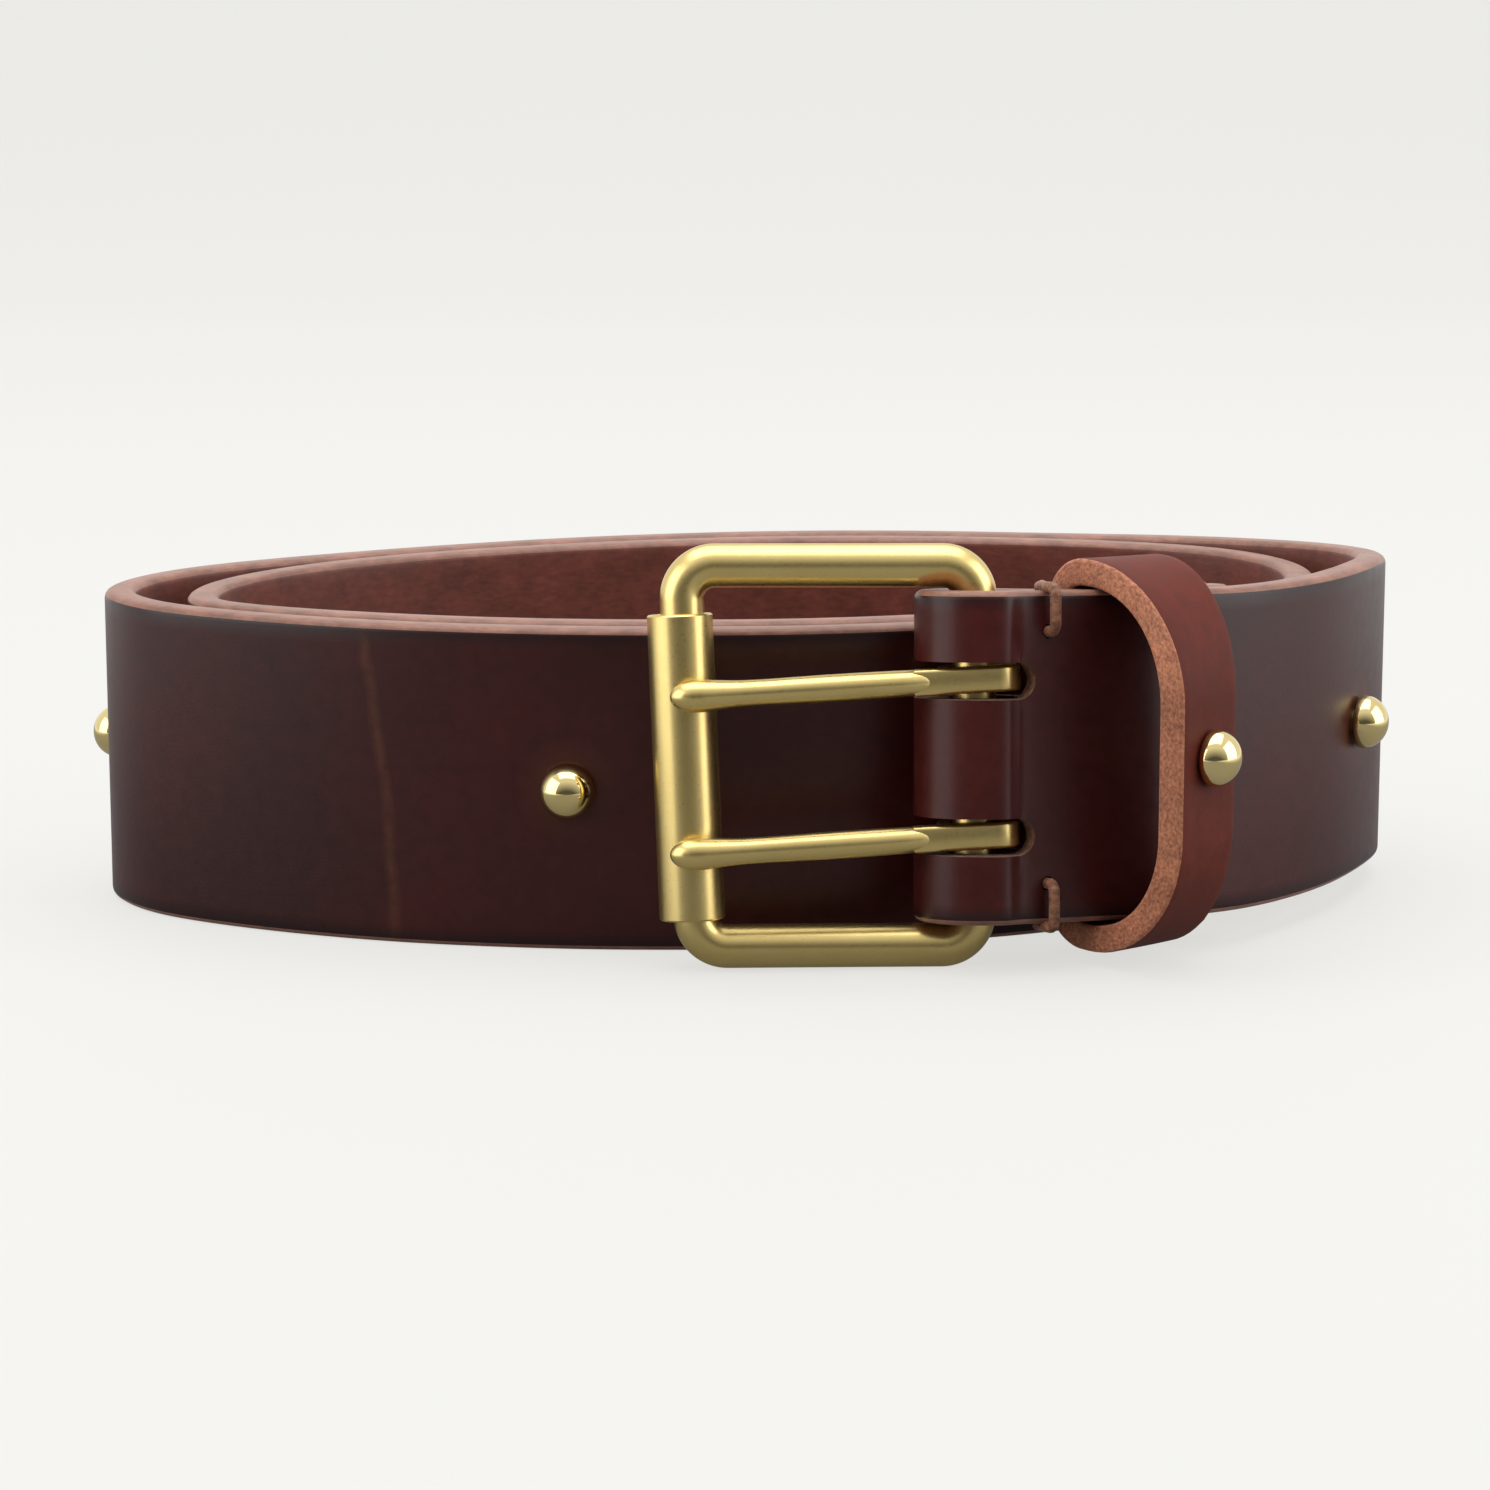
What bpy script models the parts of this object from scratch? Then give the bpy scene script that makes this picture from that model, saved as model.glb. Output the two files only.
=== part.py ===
"""A leather belt with a double-prong roller buckle, coiled and standing on its edge.

Metres, +Z up. X runs along the coil's long side, and the buckle is on the -Y side.
The strap is cut flat, with all its slots and holes, and is then rolled up along one route.
"""
import math

import bmesh
import bpy
import numpy as np
from mathutils import Matrix, Vector

MM = 0.001

# Driving dimensions: leather
STRAP_WIDTH = 44.45 * MM
STRAP_THICK = 4.5 * MM
STRAP_EDGE = 0.9 * MM
STRAP_LENGTH = 938 * MM        # from the fold to the tip
FOLD_BACK = 55.5 * MM            # how far the turned-back end reaches past the fold
TURN_GAP = 1.4 * MM            # air between two turns of the coil
FIT_GAP = 0.3 * MM             # clearance between pieces that touch
FOLD_SLACK = 0.5 * MM          # the fold doesn't hug the bar
KEEPER_WIDTH = 14.8 * MM
KEEPER_THICK = 3.7 * MM

# Driving dimensions: buckle
WIRE = 5.9 * MM
FRAME_HEIGHT = 56.9 * MM
FRAME_TOP_WIDTH = 45.4 * MM
FRAME_FOOT_WIDTH = 43.3 * MM
FRAME_CORNER = 4.4 * MM          # radius of the wire's middle line
ROLLER_OUTER = 8.8 * MM
ROLLER_WALL = 0.8 * MM
ROLLER_LENGTH = 40.9 * MM
ROLLER_DROP = 1.4 * MM         # the loose roller has slid down its bar
ROLLER_SHIFT = 0.3 * MM        # and hangs a little outwards
PRONG_HEIGHTS = [10.4 * MM, -10.5 * MM]   # from the middle of the bar
SLOT_HEIGHTS = [10.3 * MM, -10.5 * MM]    # from the middle of the strap
PRONG_WIDTH = 3.5 * MM
PRONG_LOOP = 5.8 * MM          # half size of the squared loop round the bar
PRONG_DROOP = math.radians(3)
SLOT_WIDTH = 5 * MM
SLOT_REACH = 22.4 * MM         # slot ends, measured along the leather from the fold
SLOT_REACH_BACK = 25.5 * MM    # the same in the turned-back end

# Driving dimensions: fastenings
STUD_RADIUS = 3.8 * MM
STUD_HEIGHT = 4.3 * MM
POST_RADIUS = 2 * MM
SCREW_RADIUS = 3.2 * MM
SCREW_HEAD = 0.9 * MM
SCREW_SINK = 0.7 * MM
SCREW_GAP = 0.6 * MM           # under the flat head, where the leather bends
STUD_PLACES = [s * MM for s in (88, 168.5, 249.5, 335, 424.8, 508)]
LACE_RADIUS = 0.75 * MM
LACE_INSET = 5.4 * MM          # from the strap's edge to the lace hole
LACE_SINK = 0.6 * MM           # depth of the groove that the lace pulls into the leather
LACE_PLACES = [23 * MM, 46.5 * MM]
HOLE_RADIUS = 2.5 * MM
HOLE_FIRST = 76 * MM
HOLE_PITCH = 25.4 * MM
HOLE_ROWS = 5

# Where the buckle stands, and how it leans
BAR = Vector((30.8, -4.6)) * MM
LEAN = math.radians(7)
YAW = math.radians(3.5)
BAR_MIDDLE = (FRAME_HEIGHT - WIRE) / 2 * math.cos(LEAN) + WIRE / 2
FOLD_LIFT = BAR_MIDDLE - STRAP_WIDTH / 2
LIFT_FROM = 30 * MM
LIFT_LENGTH = 186 * MM         # the raised buckle end comes down to the floor over this run
LEAN_FROM = 20 * MM
LEAN_TO = 100 * MM
ORIGIN = Vector((-0.795, 38.918, 0)) * MM     # middle of the whole footprint

# The route of the strap's outer face in plan, in millimetres: once round, then inside
FRONT_AND_RIGHT = [
    (35, -12.5), (39, -11.3), (43.4, -9.5), (50, -6.2), (58.6, -1.6), (67, 4.6), (75.9, 14.3),
    (83.3, 24.5), (89.6, 36.9), (93.5, 50), (92.8, 62.7), (87.3, 73.7)]
BACK_AND_LEFT = [
    (78.6, 82.6), (68.3, 89.5), (56.3, 94.2), (42.5, 97.3), (22.8, 99.4), (2.1, 98.5),
    (-18.6, 94.1), (-37.9, 87.1), (-55.8, 78.1), (-71.6, 68.4), (-83.9, 58),
    (-90.4, 46.8), (-91.7, 37.2), (-88.8, 29.2)]
FRONT_AGAIN = [
    (-83.9, 22.9), (-76.6, 17.4), (-68.2, 12.8), (-58.5, 8.6), (-46.9, 4.8), (-33.7, 2.1),
    (-20.5, 0.6), (-7.5, 0.3), (7.5, 1.1), (22.5, 4.1), (37.7, 9), (52.2, 16.2), (65.7, 25.3),
    (76.3, 34.8), (82.6, 47.6), (83.4, 60)]
INNER_LEFT = [(-77.5, 45), (-79.4, 34.4), (-76.4, 25)]
NEST_BACK = [s * MM for s in (145, 165, 187, 211, 235, 259, 282)]
NEST_FRONT = [s * MM for s in (370, 391, 412, 434, 456, 478, 500, 522, 540)]

BRASS = (0.80, 0.64, 0.30, 1)
BROWN = (0.075, 0.02, 0.02, 1)
RUSSET = (0.16, 0.05, 0.04, 1)
TAN = (0.3, 0.13, 0.06, 1)


# ------------------------------------------------------------------ scene helpers
def clear_scene():
    for old in list(bpy.data.objects):
        bpy.data.objects.remove(old, do_unlink=True)


def finish_material(name, colour, roughness, metallic):
    """One plain Principled material."""
    material = bpy.data.materials.new(name)
    material.use_nodes = True
    shader = material.node_tree.nodes["Principled BSDF"]
    shader.inputs["Base Color"].default_value = colour
    shader.inputs["Roughness"].default_value = roughness
    shader.inputs["Metallic"].default_value = metallic
    return material


def brass(name):
    return finish_material(name + "_brass", BRASS, 0.25, 1)


def leather(name, colour):
    return finish_material(name + "_leather", colour, 0.4, 0)


def add_object(name, shape, material, place=Matrix()):
    """Make a bmesh into a named object that stands at the given place."""
    bmesh.ops.recalc_face_normals(shape, faces=shape.faces)
    mesh = bpy.data.meshes.new(name)
    shape.to_mesh(mesh)
    shape.free()
    mesh.materials.append(material)
    mesh.shade_smooth()
    mesh.set_sharp_from_angle(angle=math.radians(35))
    item = bpy.data.objects.new(name, mesh)
    item.matrix_world = place
    bpy.context.scene.collection.objects.link(item)
    return item


def combine(target, tool_shape, operation):
    """Cut a tool out of an object, or join it on, and keep only the result."""
    tool = add_object("tool", tool_shape, target.data.materials[0], target.matrix_world)
    step = target.modifiers.new(operation, "BOOLEAN")
    step.operation = operation
    step.object = tool
    step.use_self = True
    bpy.context.view_layer.update()
    solved = target.evaluated_get(bpy.context.evaluated_depsgraph_get())
    mesh = bpy.data.meshes.new_from_object(solved)
    target.modifiers.clear()
    target.data = mesh
    bpy.data.objects.remove(tool, do_unlink=True)


def cylinder(shape, radius, start, end, sides=16):
    """Add a closed cylinder between two points."""
    run = end - start
    turn = run.to_track_quat("Z", "Y").to_matrix().to_4x4()
    place = Matrix.Translation((start + end) / 2) @ turn
    bmesh.ops.create_cone(shape, cap_ends=True, segments=sides, radius1=radius,
                          radius2=radius, depth=run.length, matrix=place)


def turned(profile, sides):
    """Spin a profile of (radius, height) pairs round the Z axis into a closed solid."""
    shape = bmesh.new()
    corners = [shape.verts.new((radius, 0, height)) for radius, height in profile]
    edges = [shape.edges.new(pair) for pair in zip(corners, corners[1:])]
    bmesh.ops.spin(shape, geom=corners + edges, axis=(0, 0, 1), cent=(0, 0, 0),
                   angle=math.tau, steps=sides, use_merge=True)
    bmesh.ops.remove_doubles(shape, verts=shape.verts, dist=0.01 * MM)
    return shape


def plate(outline, depth):
    """Extrude a flat outline of (x, z) corners from y = 0 back to y = depth."""
    shape = bmesh.new()
    face = shape.faces.new([shape.verts.new((x, 0, z)) for x, z in outline])
    grown = bmesh.ops.extrude_face_region(shape, geom=[face])["geom"]
    moved = [part for part in grown if isinstance(part, bmesh.types.BMVert)]
    bmesh.ops.translate(shape, verts=moved, vec=(0, depth, 0))
    bmesh.ops.recalc_face_normals(shape, faces=shape.faces)
    return shape


def arc(centre, radius, start, end, steps):
    """Points on an arc between two angles in degrees."""
    angles = np.radians(np.linspace(start, end, steps + 1))
    return [(centre[0] + radius * math.cos(a), centre[1] + radius * math.sin(a)) for a in angles]


# ------------------------------------------------------------------ the coil's route
def smooth_curve(points, spacing=0.5 * MM):
    """A natural cubic spline through plan points, read at an even spacing."""
    knots = np.array(points)
    gaps = np.linalg.norm(np.diff(knots, axis=0), axis=1)
    along = np.concatenate([[0], np.cumsum(gaps)])
    count = len(knots)
    system = np.eye(count)
    right = np.zeros((count, 2))
    for i in range(1, count - 1):
        before, after = gaps[i - 1], gaps[i]
        system[i, i - 1:i + 2] = before, 2 * (before + after), after
        steps = (knots[i + 1] - knots[i]) / after - (knots[i] - knots[i - 1]) / before
        right[i] = 6 * steps
    bend = np.linalg.solve(system, right)
    places = np.arange(0, along[-1], spacing)
    k = np.clip(np.searchsorted(along, places, side="right") - 1, 0, count - 2)
    h = gaps[k][:, None]
    a = (along[k + 1] - places)[:, None] / h
    b = 1 - a
    curve = (a ** 3 - a) * bend[k] + (b ** 3 - b) * bend[k + 1]
    return a * knots[k] + b * knots[k + 1] + curve * h ** 2 / 6


def tangents(line):
    run = np.gradient(line, axis=0)
    return run / np.linalg.norm(run, axis=1)[:, None]


def inside(line, at, distance):
    """Points at the given runs along a line, moved towards the coil's middle."""
    along = run_lengths(line)
    run = tangents(line)
    shifted = line + distance * np.column_stack([-run[:, 1], run[:, 0]])
    return [(np.interp(s, along, shifted[:, 0]), np.interp(s, along, shifted[:, 1])) for s in at]


def run_lengths(line):
    return np.concatenate([[0], np.cumsum(np.linalg.norm(np.diff(line, axis=0), axis=1))])


def plan_route():
    """The strap's outer face in plan, as dense points, with s = 0 at the middle of the fold."""
    wrap = WIRE / 2 + FIT_GAP + FOLD_SLACK + STRAP_THICK
    quarter = wrap * math.pi / 2
    wrap_points = np.array(arc(BAR, wrap, 90, 270, 60))
    lead = [tuple(wrap_points[-3]), tuple(wrap_points[-1])]
    outer_knots = lead + [(x * MM, y * MM) for x, y in FRONT_AND_RIGHT + BACK_AND_LEFT + FRONT_AGAIN]
    outer = smooth_curve(outer_knots)
    start = np.linalg.norm(wrap_points[-1] - wrap_points[-3]) - quarter
    pitch = STRAP_THICK + TURN_GAP
    back = inside(outer, [s + start for s in NEST_BACK], pitch)
    front = inside(outer, [s + start for s in NEST_FRONT], pitch)
    curl = [(x * MM, y * MM) for x, y in INNER_LEFT]
    main = smooth_curve(outer_knots + back + curl + front)
    main = main[run_lengths(main) > start + quarter]
    pressed = 2 * STRAP_THICK + FIT_GAP
    tail_runs = [s * MM for s in (45, 37, 29, 21, 15)]
    tail = inside(main, tail_runs, pressed)
    tail = smooth_curve(tail + [tuple(wrap_points[0]), tuple(wrap_points[2])])
    tail = tail[tail[:, 0] > BAR.x]
    return np.vstack([tail, wrap_points, main]), len(tail) + 30


def even(line, spacing=0.5 * MM):
    """Read a line again at an even spacing, and ease out what is left of its corners."""
    along = run_lengths(line)
    marks = np.arange(0, along[-1], spacing)
    out = np.column_stack([np.interp(marks, along, line[:, axis]) for axis in (0, 1)])
    for _ in range(12):
        out[1:-1] = (out[:-2] + 2 * out[1:-1] + out[2:]) / 4
    return out


RAW_ROUTE, FOLD_INDEX = plan_route()
FOLD_START = run_lengths(RAW_ROUTE)[FOLD_INDEX]
ROUTE = even(RAW_ROUTE)
ROUTE_S = run_lengths(ROUTE) - FOLD_START
ROUTE_T = tangents(ROUTE)


def ease(value, start, end):
    t = min(max((value - start) / (end - start), 0), 1)
    return t * t * (3 - 2 * t)


def lift(s):
    """Height of the strap's lower edge: the buckle end is carried by the tall frame."""
    return FOLD_LIFT * (1 - ease(abs(s), LIFT_FROM, LIFT_LENGTH))


def rolled(s, depth, height):
    """World place of a point of the flat strap: run s, depth below the grain, height up."""
    x, y = (np.interp(s, ROUTE_S, ROUTE[:, axis]) for axis in (0, 1))
    tx, ty = (np.interp(s, ROUTE_S, ROUTE_T[:, axis]) for axis in (0, 1))
    point = Vector((x - depth * ty, y + depth * tx, lift(s) + height))
    angle = LEAN * (1 - ease(abs(s), LEAN_FROM, LEAN_TO))
    pivot = Vector((0, BAR.y, BAR_MIDDLE))
    return Matrix.Rotation(-angle, 3, "X") @ (point - pivot) + pivot - ORIGIN


def strap_frame(s, depth, height):
    """Axes on the strap: x along it, y inwards, z up, with the origin at a point of it."""
    here = rolled(s, depth, height)
    along = (rolled(s + MM, depth, height) - rolled(s - MM, depth, height)).normalized()
    up = (rolled(s, depth, height + MM) - here).normalized()
    inwards = up.cross(along).normalized()
    axes = Matrix((along, inwards, along.cross(inwards))).transposed().to_4x4()
    return Matrix.Translation(here) @ axes


def behind(s):
    """Run along the turned-back end at the point that lies behind run s of the front."""
    here = rolled(s, STRAP_THICK, STRAP_WIDTH / 2)
    runs = np.arange(-FOLD_BACK, -18 * MM, 0.25 * MM)
    return min(runs, key=lambda r: (rolled(r, 0, STRAP_WIDTH / 2) - here).length)


def fold_depth(s):
    """Distance through both layers, from grain to grain."""
    middle = STRAP_WIDTH / 2
    return STRAP_THICK + (rolled(behind(s), 0, middle) - rolled(s, STRAP_THICK, middle)).length


def through_fold(s, depth, height):
    """A point at a depth below the front grain, square to each of the two layers in turn."""
    if depth <= STRAP_THICK:
        return rolled(s, depth, height)
    return rolled(behind(s), fold_depth(s) - depth, height)


# ------------------------------------------------------------------ strap
def strap_outline():
    """Square turned-back end, long straight sides and a blunt pointed tip."""
    half = STRAP_WIDTH / 2
    nose = 20 * MM
    tip = STRAP_LENGTH
    round_tip = arc((tip - 8 * MM, half), 8 * MM, -60, 60, 8)
    corner = 2 * MM
    end = -FOLD_BACK
    outline = [(end + corner, 0), (tip - nose - 14 * MM, 0), (tip - nose, 5 * MM)]
    outline += round_tip
    outline += [(tip - nose, STRAP_WIDTH - 5 * MM), (tip - nose - 14 * MM, STRAP_WIDTH)]
    outline += [(end + corner, STRAP_WIDTH), (end, STRAP_WIDTH - corner), (end, corner)]
    return outline


def strap_cutters():
    """Two prong slots through the fold, and round holes for studs, laces and prongs."""
    cut = bmesh.new()
    front = Vector((0, -MM, 0))
    back = Vector((0, STRAP_THICK + MM, 0))
    middle = STRAP_WIDTH / 2
    def drill(s, height, radius, sides=12):
        centre = Vector((s, 0, height))
        cylinder(cut, radius, centre + front, centre + back, sides)
    for side, offset in zip((1, -1), SLOT_HEIGHTS):
        height = middle + offset
        half = SLOT_WIDTH / 2
        ends = arc((SLOT_REACH - half, height), half, -90, 90, 8)
        ends += arc((half - SLOT_REACH_BACK, height), half, 90, 270, 8)
        slot = plate(ends, STRAP_THICK + 2 * MM)
        bmesh.ops.translate(slot, verts=slot.verts, vec=front)
        add_shape(cut, slot)
        for s in LACE_PLACES:
            edge = middle + side * (middle - LACE_INSET)
            for run in (s, behind(s)):
                drill(run, edge, LACE_RADIUS + FIT_GAP, 8)
                lace_groove(cut, run, edge, side)
        for row in range(HOLE_ROWS):
            drill(STRAP_LENGTH - HOLE_FIRST - row * HOLE_PITCH, height, HOLE_RADIUS)
    for s in STUD_PLACES:
        seat = stud_cutter(STRAP_THICK)
        turn = Matrix.Diagonal((squeeze(s), 1, 1, 1)) @ Matrix.Rotation(math.radians(90), 4, "X")
        bmesh.ops.transform(seat, verts=seat.verts, matrix=Matrix.Translation((s, 0, middle)) @ turn)
        add_shape(cut, seat)
    return cut


def lace_groove(cut, run, height, side):
    """The channel of a lace on the grain side, from its hole to the edge, and over the edge."""
    size = LACE_RADIUS + FIT_GAP
    top = STRAP_WIDTH / 2 + side * STRAP_WIDTH / 2
    depth = LACE_SINK - LACE_RADIUS - FIT_GAP
    start = Vector((run, depth, height))
    cylinder(cut, size, start, Vector((run, depth, top + side * 2 * MM)), 8)
    over = top + side * (LACE_RADIUS + FIT_GAP - LACE_SINK)
    cylinder(cut, size, Vector((run, -MM, over)), Vector((run, STRAP_THICK + MM, over)), 8)


def stud_cutter(thick):
    """A through hole for the post, with a shallow seat on the flesh side for the screw head."""
    hole = POST_RADIUS + FIT_GAP
    seat = SCREW_RADIUS + FIT_GAP
    floor = SCREW_SINK - thick
    below = -thick - MM
    return turned([(0, MM), (hole, MM), (hole, floor), (seat, floor), (seat, below), (0, below)], 14)


def squeeze(s):
    """How much longer a hole is cut where the bend shortens the flesh side."""
    reach = 5 * MM
    before, after = (Vector(strap_frame(s + step, 0, 0).col[0][:2]) for step in (-reach, reach))
    bend = abs(before.angle_signed(after)) / (2 * reach)
    return 1 / (1 - min(bend * STRAP_THICK, 0.4))


def add_shape(target, source):
    """Copy one bmesh into another."""
    mesh = bpy.data.meshes.new("part")
    source.to_mesh(mesh)
    source.free()
    target.from_mesh(mesh)
    bpy.data.meshes.remove(mesh)


def stations(turn=math.radians(7), longest=9 * MM):
    """Runs along the strap where it gets a crosswise fold line: close where it bends."""
    heading = np.unwrap(np.arctan2(ROUTE_T[:, 1], ROUTE_T[:, 0]))
    marks = []
    last_s, last_heading = -FOLD_BACK, heading[0]
    for s, angle in zip(ROUTE_S, heading):
        if abs(angle - last_heading) >= turn or s - last_s >= longest:
            marks.append(s)
            last_s, last_heading = s, angle
    return [s for s in marks if -FOLD_BACK + MM < s < STRAP_LENGTH - MM]


def make_strap():
    flat = plate(strap_outline(), STRAP_THICK)
    rims = [edge for edge in flat.edges if abs(edge.verts[0].co.y - edge.verts[1].co.y) < MM]
    bmesh.ops.bevel(flat, geom=rims, offset=STRAP_EDGE, offset_type="OFFSET", segments=1,
                    profile=0.5, affect="EDGES", material=-1)
    strap = add_object("strap", flat, leather("strap", BROWN))
    combine(strap, strap_cutters(), "DIFFERENCE")
    bent = bmesh.new()
    bent.from_mesh(strap.data)
    for s in stations():
        bmesh.ops.bisect_plane(bent, geom=bent.verts[:] + bent.edges[:] + bent.faces[:],
                               dist=0.02 * MM, plane_co=(s, 0, 0), plane_no=(1, 0, 0))
    bmesh.ops.remove_doubles(bent, verts=bent.verts, dist=0.02 * MM)
    bmesh.ops.triangulate(bent, faces=bent.faces)
    for corner in bent.verts:
        corner.co = rolled(*corner.co)
    bent.to_mesh(strap.data)
    bent.free()


# ------------------------------------------------------------------ buckle
def buckle_place():
    """Axes of the buckle: origin in the middle of the bar, x away from the roller, z up."""
    centre = Vector((BAR.x, BAR.y, BAR_MIDDLE)) - ORIGIN
    lean = Matrix.Rotation(-LEAN, 4, "X")
    return Matrix.Translation(centre) @ lean @ Matrix.Rotation(YAW, 4, "Z")


def frame_corners():
    """Middle line of the frame at its four corners: foot and top of both bars."""
    reach = (FRAME_HEIGHT - WIRE) / 2
    return [Vector((0, -reach)), Vector((0, reach)),
            Vector((-(FRAME_TOP_WIDTH - WIRE), reach)),
            Vector((-(FRAME_FOOT_WIDTH - WIRE), -reach))]


def rounded_loop(corners, radii, steps):
    """A closed line with its corners rounded, each with its own radius."""
    line = []
    for i, (corner, radius) in enumerate(zip(corners, radii)):
        before = (corners[i - 1] - corner).normalized()
        after = (corners[(i + 1) % len(corners)] - corner).normalized()
        half_angle = before.angle(after) / 2
        middle = (before + after).normalized()
        centre = corner + middle * radius / math.sin(half_angle)
        first = corner + before * radius / math.tan(half_angle) - centre
        last = corner + after * radius / math.tan(half_angle) - centre
        sweep = first.angle_signed(last)
        for step in range(steps + 1):
            turn = Matrix.Rotation(-sweep * step / steps, 2)
            line.append(centre + turn @ first)
    return line


def tube(line, radius, sides, closed):
    """Sweep a circle along a line of points, capped at both ends unless it is closed."""
    shape = bmesh.new()
    count = len(line)
    rings = []
    side = None
    for i, point in enumerate(line):
        ahead = line[(i + 1) % count] if closed or i < count - 1 else point
        back = line[i - 1] if closed or i > 0 else point
        run = (ahead - back).normalized()
        side = run.orthogonal() if side is None else side - run * side.dot(run)
        side.normalize()
        over = run.cross(side)
        angles = [math.tau * k / sides for k in range(sides)]
        size = radius[i] if isinstance(radius, list) else radius
        rings.append([shape.verts.new(point + size * (side * math.cos(a) + over * math.sin(a)))
                      for a in angles])
    pairs = list(zip(rings, rings[1:]))
    if closed:
        pairs.append((rings[-1], rings[0]))
    for one, two in pairs:
        for k in range(sides):
            n = (k + 1) % sides
            shape.faces.new((one[k], one[n], two[n], two[k]))
    if not closed:
        shape.faces.new(rings[0])
        shape.faces.new(rings[-1])
    return shape


def make_frame():
    line = [Vector((p.x, 0, p.y)) for p in rounded_loop(frame_corners(), [FRAME_CORNER] * 4, 7)]
    shape = tube(line, WIRE / 2, 16, closed=True)
    add_object("buckle_frame", shape, brass("frame"), buckle_place())


def roller_place():
    """Axes of the roller, on the frame's slanting outer bar."""
    foot, top = frame_corners()[3], frame_corners()[2]
    middle = (foot + top) / 2
    slant = math.atan2(top.x - foot.x, top.y - foot.y)
    centre = Vector((middle.x - ROLLER_SHIFT, 0, middle.y - ROLLER_DROP))
    return buckle_place() @ Matrix.Translation(centre) @ Matrix.Rotation(slant, 4, "Y")


def make_roller():
    """A strip of sheet brass rolled into a tube, with its seam at the back."""
    outer = ROLLER_OUTER / 2
    seam = 4
    sides = 28
    shape = bmesh.new()
    radii = (outer - ROLLER_WALL, outer)
    half = ROLLER_LENGTH / 2
    edge = [(radii[0], -half), (radii[1], -half), (radii[1], half), (radii[0], half)]
    face = shape.faces.new([shape.verts.new((r, 0, z)) for r, z in edge])
    bmesh.ops.spin(shape, geom=[face], axis=(0, 0, 1), cent=(0, 0, 0),
                   angle=math.radians(360 - seam), steps=sides)
    seam_place = roller_place() @ Matrix.Rotation(math.radians(60), 4, "Z")
    add_object("roller", shape, brass("roller"), seam_place)


def prong_base():
    """The flat strip of the prong, bent into a squared loop round the bar."""
    size = PRONG_LOOP
    corner = 3.2 * MM
    reach = -size - 3 * MM
    low = -size + 1.1 * MM
    outline = [(reach, -size), (size - corner, -size)]
    outline += arc((size - corner, corner - size), corner, -75, -15, 4) + [(size, 0)]
    outline += arc((size - corner, size - corner), corner, 0, 90, 4)
    outline += arc((low + corner, size - corner), corner, 90, 180, 4)
    outline += [(low, -2.2 * MM), (reach, -3 * MM)]
    shape = bmesh.new()
    face = shape.faces.new([shape.verts.new((x, y, -PRONG_WIDTH / 2)) for x, y in outline])
    grown = bmesh.ops.extrude_face_region(shape, geom=[face])["geom"]
    moved = [part for part in grown if isinstance(part, bmesh.types.BMVert)]
    bmesh.ops.translate(shape, verts=moved, vec=(0, 0, PRONG_WIDTH))
    return shape


def prong_body():
    """The round part of the prong: it thins out to the waist and ends in a blunt point."""
    seat = ROLLER_OUTER / 2 + FIT_GAP
    stages = [(-6.7, 4.45, 1.4), (-8, 4.55, 1.65), (-12.1, 5, 1.8), (-20.5, 5.9, 1.85),
              (-28.8, 6.5, 1.7), (-33.4, 6.75, 1.85), (-37.1, 0, 2.2), (-39.2, 0, 2.05),
              (-40.5, 0, 1.4), (-41.2, 0, 0.55)]
    line, sizes = [], []
    for x, out, size in stages:
        out = out * MM if out else seat + 2.2 * MM
        line.append(Vector((x * MM, -out, 0)))
        sizes.append(size * MM)
    return tube(line, sizes, 14, closed=False)


def make_prong(name, height):
    place = buckle_place() @ Matrix.Translation((0, 0, height))
    place = place @ Matrix.Rotation(-PRONG_DROOP, 4, "Y")
    prong = add_object(name, prong_base(), brass(name), place)
    bore = bmesh.new()
    reach = Vector((0, 0, PRONG_WIDTH))
    cylinder(bore, WIRE / 2 + FIT_GAP, -reach, reach, 20)
    combine(prong, bore, "DIFFERENCE")
    combine(prong, prong_body(), "UNION")


# ------------------------------------------------------------------ keeper
KEEPER_RUN = 37 * MM           # run along the strap at the middle of its back leg
KEEPER_FRONT = Vector((59.7, -14.2)) * MM
KEEPER_YAW = math.radians(56)
KEEPER_LEAN = math.radians(1)
KEEPER_LOW = 2.2 * MM
KEEPER_HIGH = 55.1 * MM
KEEPER_BACK_CORNER = 2.6 * MM
KEEPER_FRONT_CORNER = 11 * MM
KEEPER_CLEAR = 0.6 * MM
KEEPER_STUD_HEIGHT = 30 * MM


def keeper_middle(across, out, height):
    """Middle surface of the keeper: across its width, out from back leg (0) to front leg (1)."""
    depth = 2 * STRAP_THICK + FIT_GAP + KEEPER_CLEAR + KEEPER_THICK / 2
    run = KEEPER_RUN + across
    back = rolled(run, depth, height - lift(KEEPER_RUN)) + ORIGIN
    tilt = (height - BAR_MIDDLE) * math.tan(KEEPER_LEAN)
    front = Vector((KEEPER_FRONT.x + across * math.cos(KEEPER_YAW),
                    KEEPER_FRONT.y + across * math.sin(KEEPER_YAW) + tilt, height))
    return back.lerp(front, out) - ORIGIN


def keeper_profile():
    """The loop seen end on, as pairs of (out, height): square at the back, round in front."""
    low = KEEPER_LOW + KEEPER_THICK / 2
    high = KEEPER_HIGH - KEEPER_THICK / 2
    reach = (keeper_middle(0, 1, BAR_MIDDLE) - keeper_middle(0, 0, BAR_MIDDLE)).length
    corners = [Vector((0, low)), Vector((0, high)), Vector((reach, high)), Vector((reach, low))]
    loop = rounded_loop(corners, [KEEPER_BACK_CORNER] * 2 + [KEEPER_FRONT_CORNER] * 2, 8)
    return [(point.x / reach, point.y) for point in loop]


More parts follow.
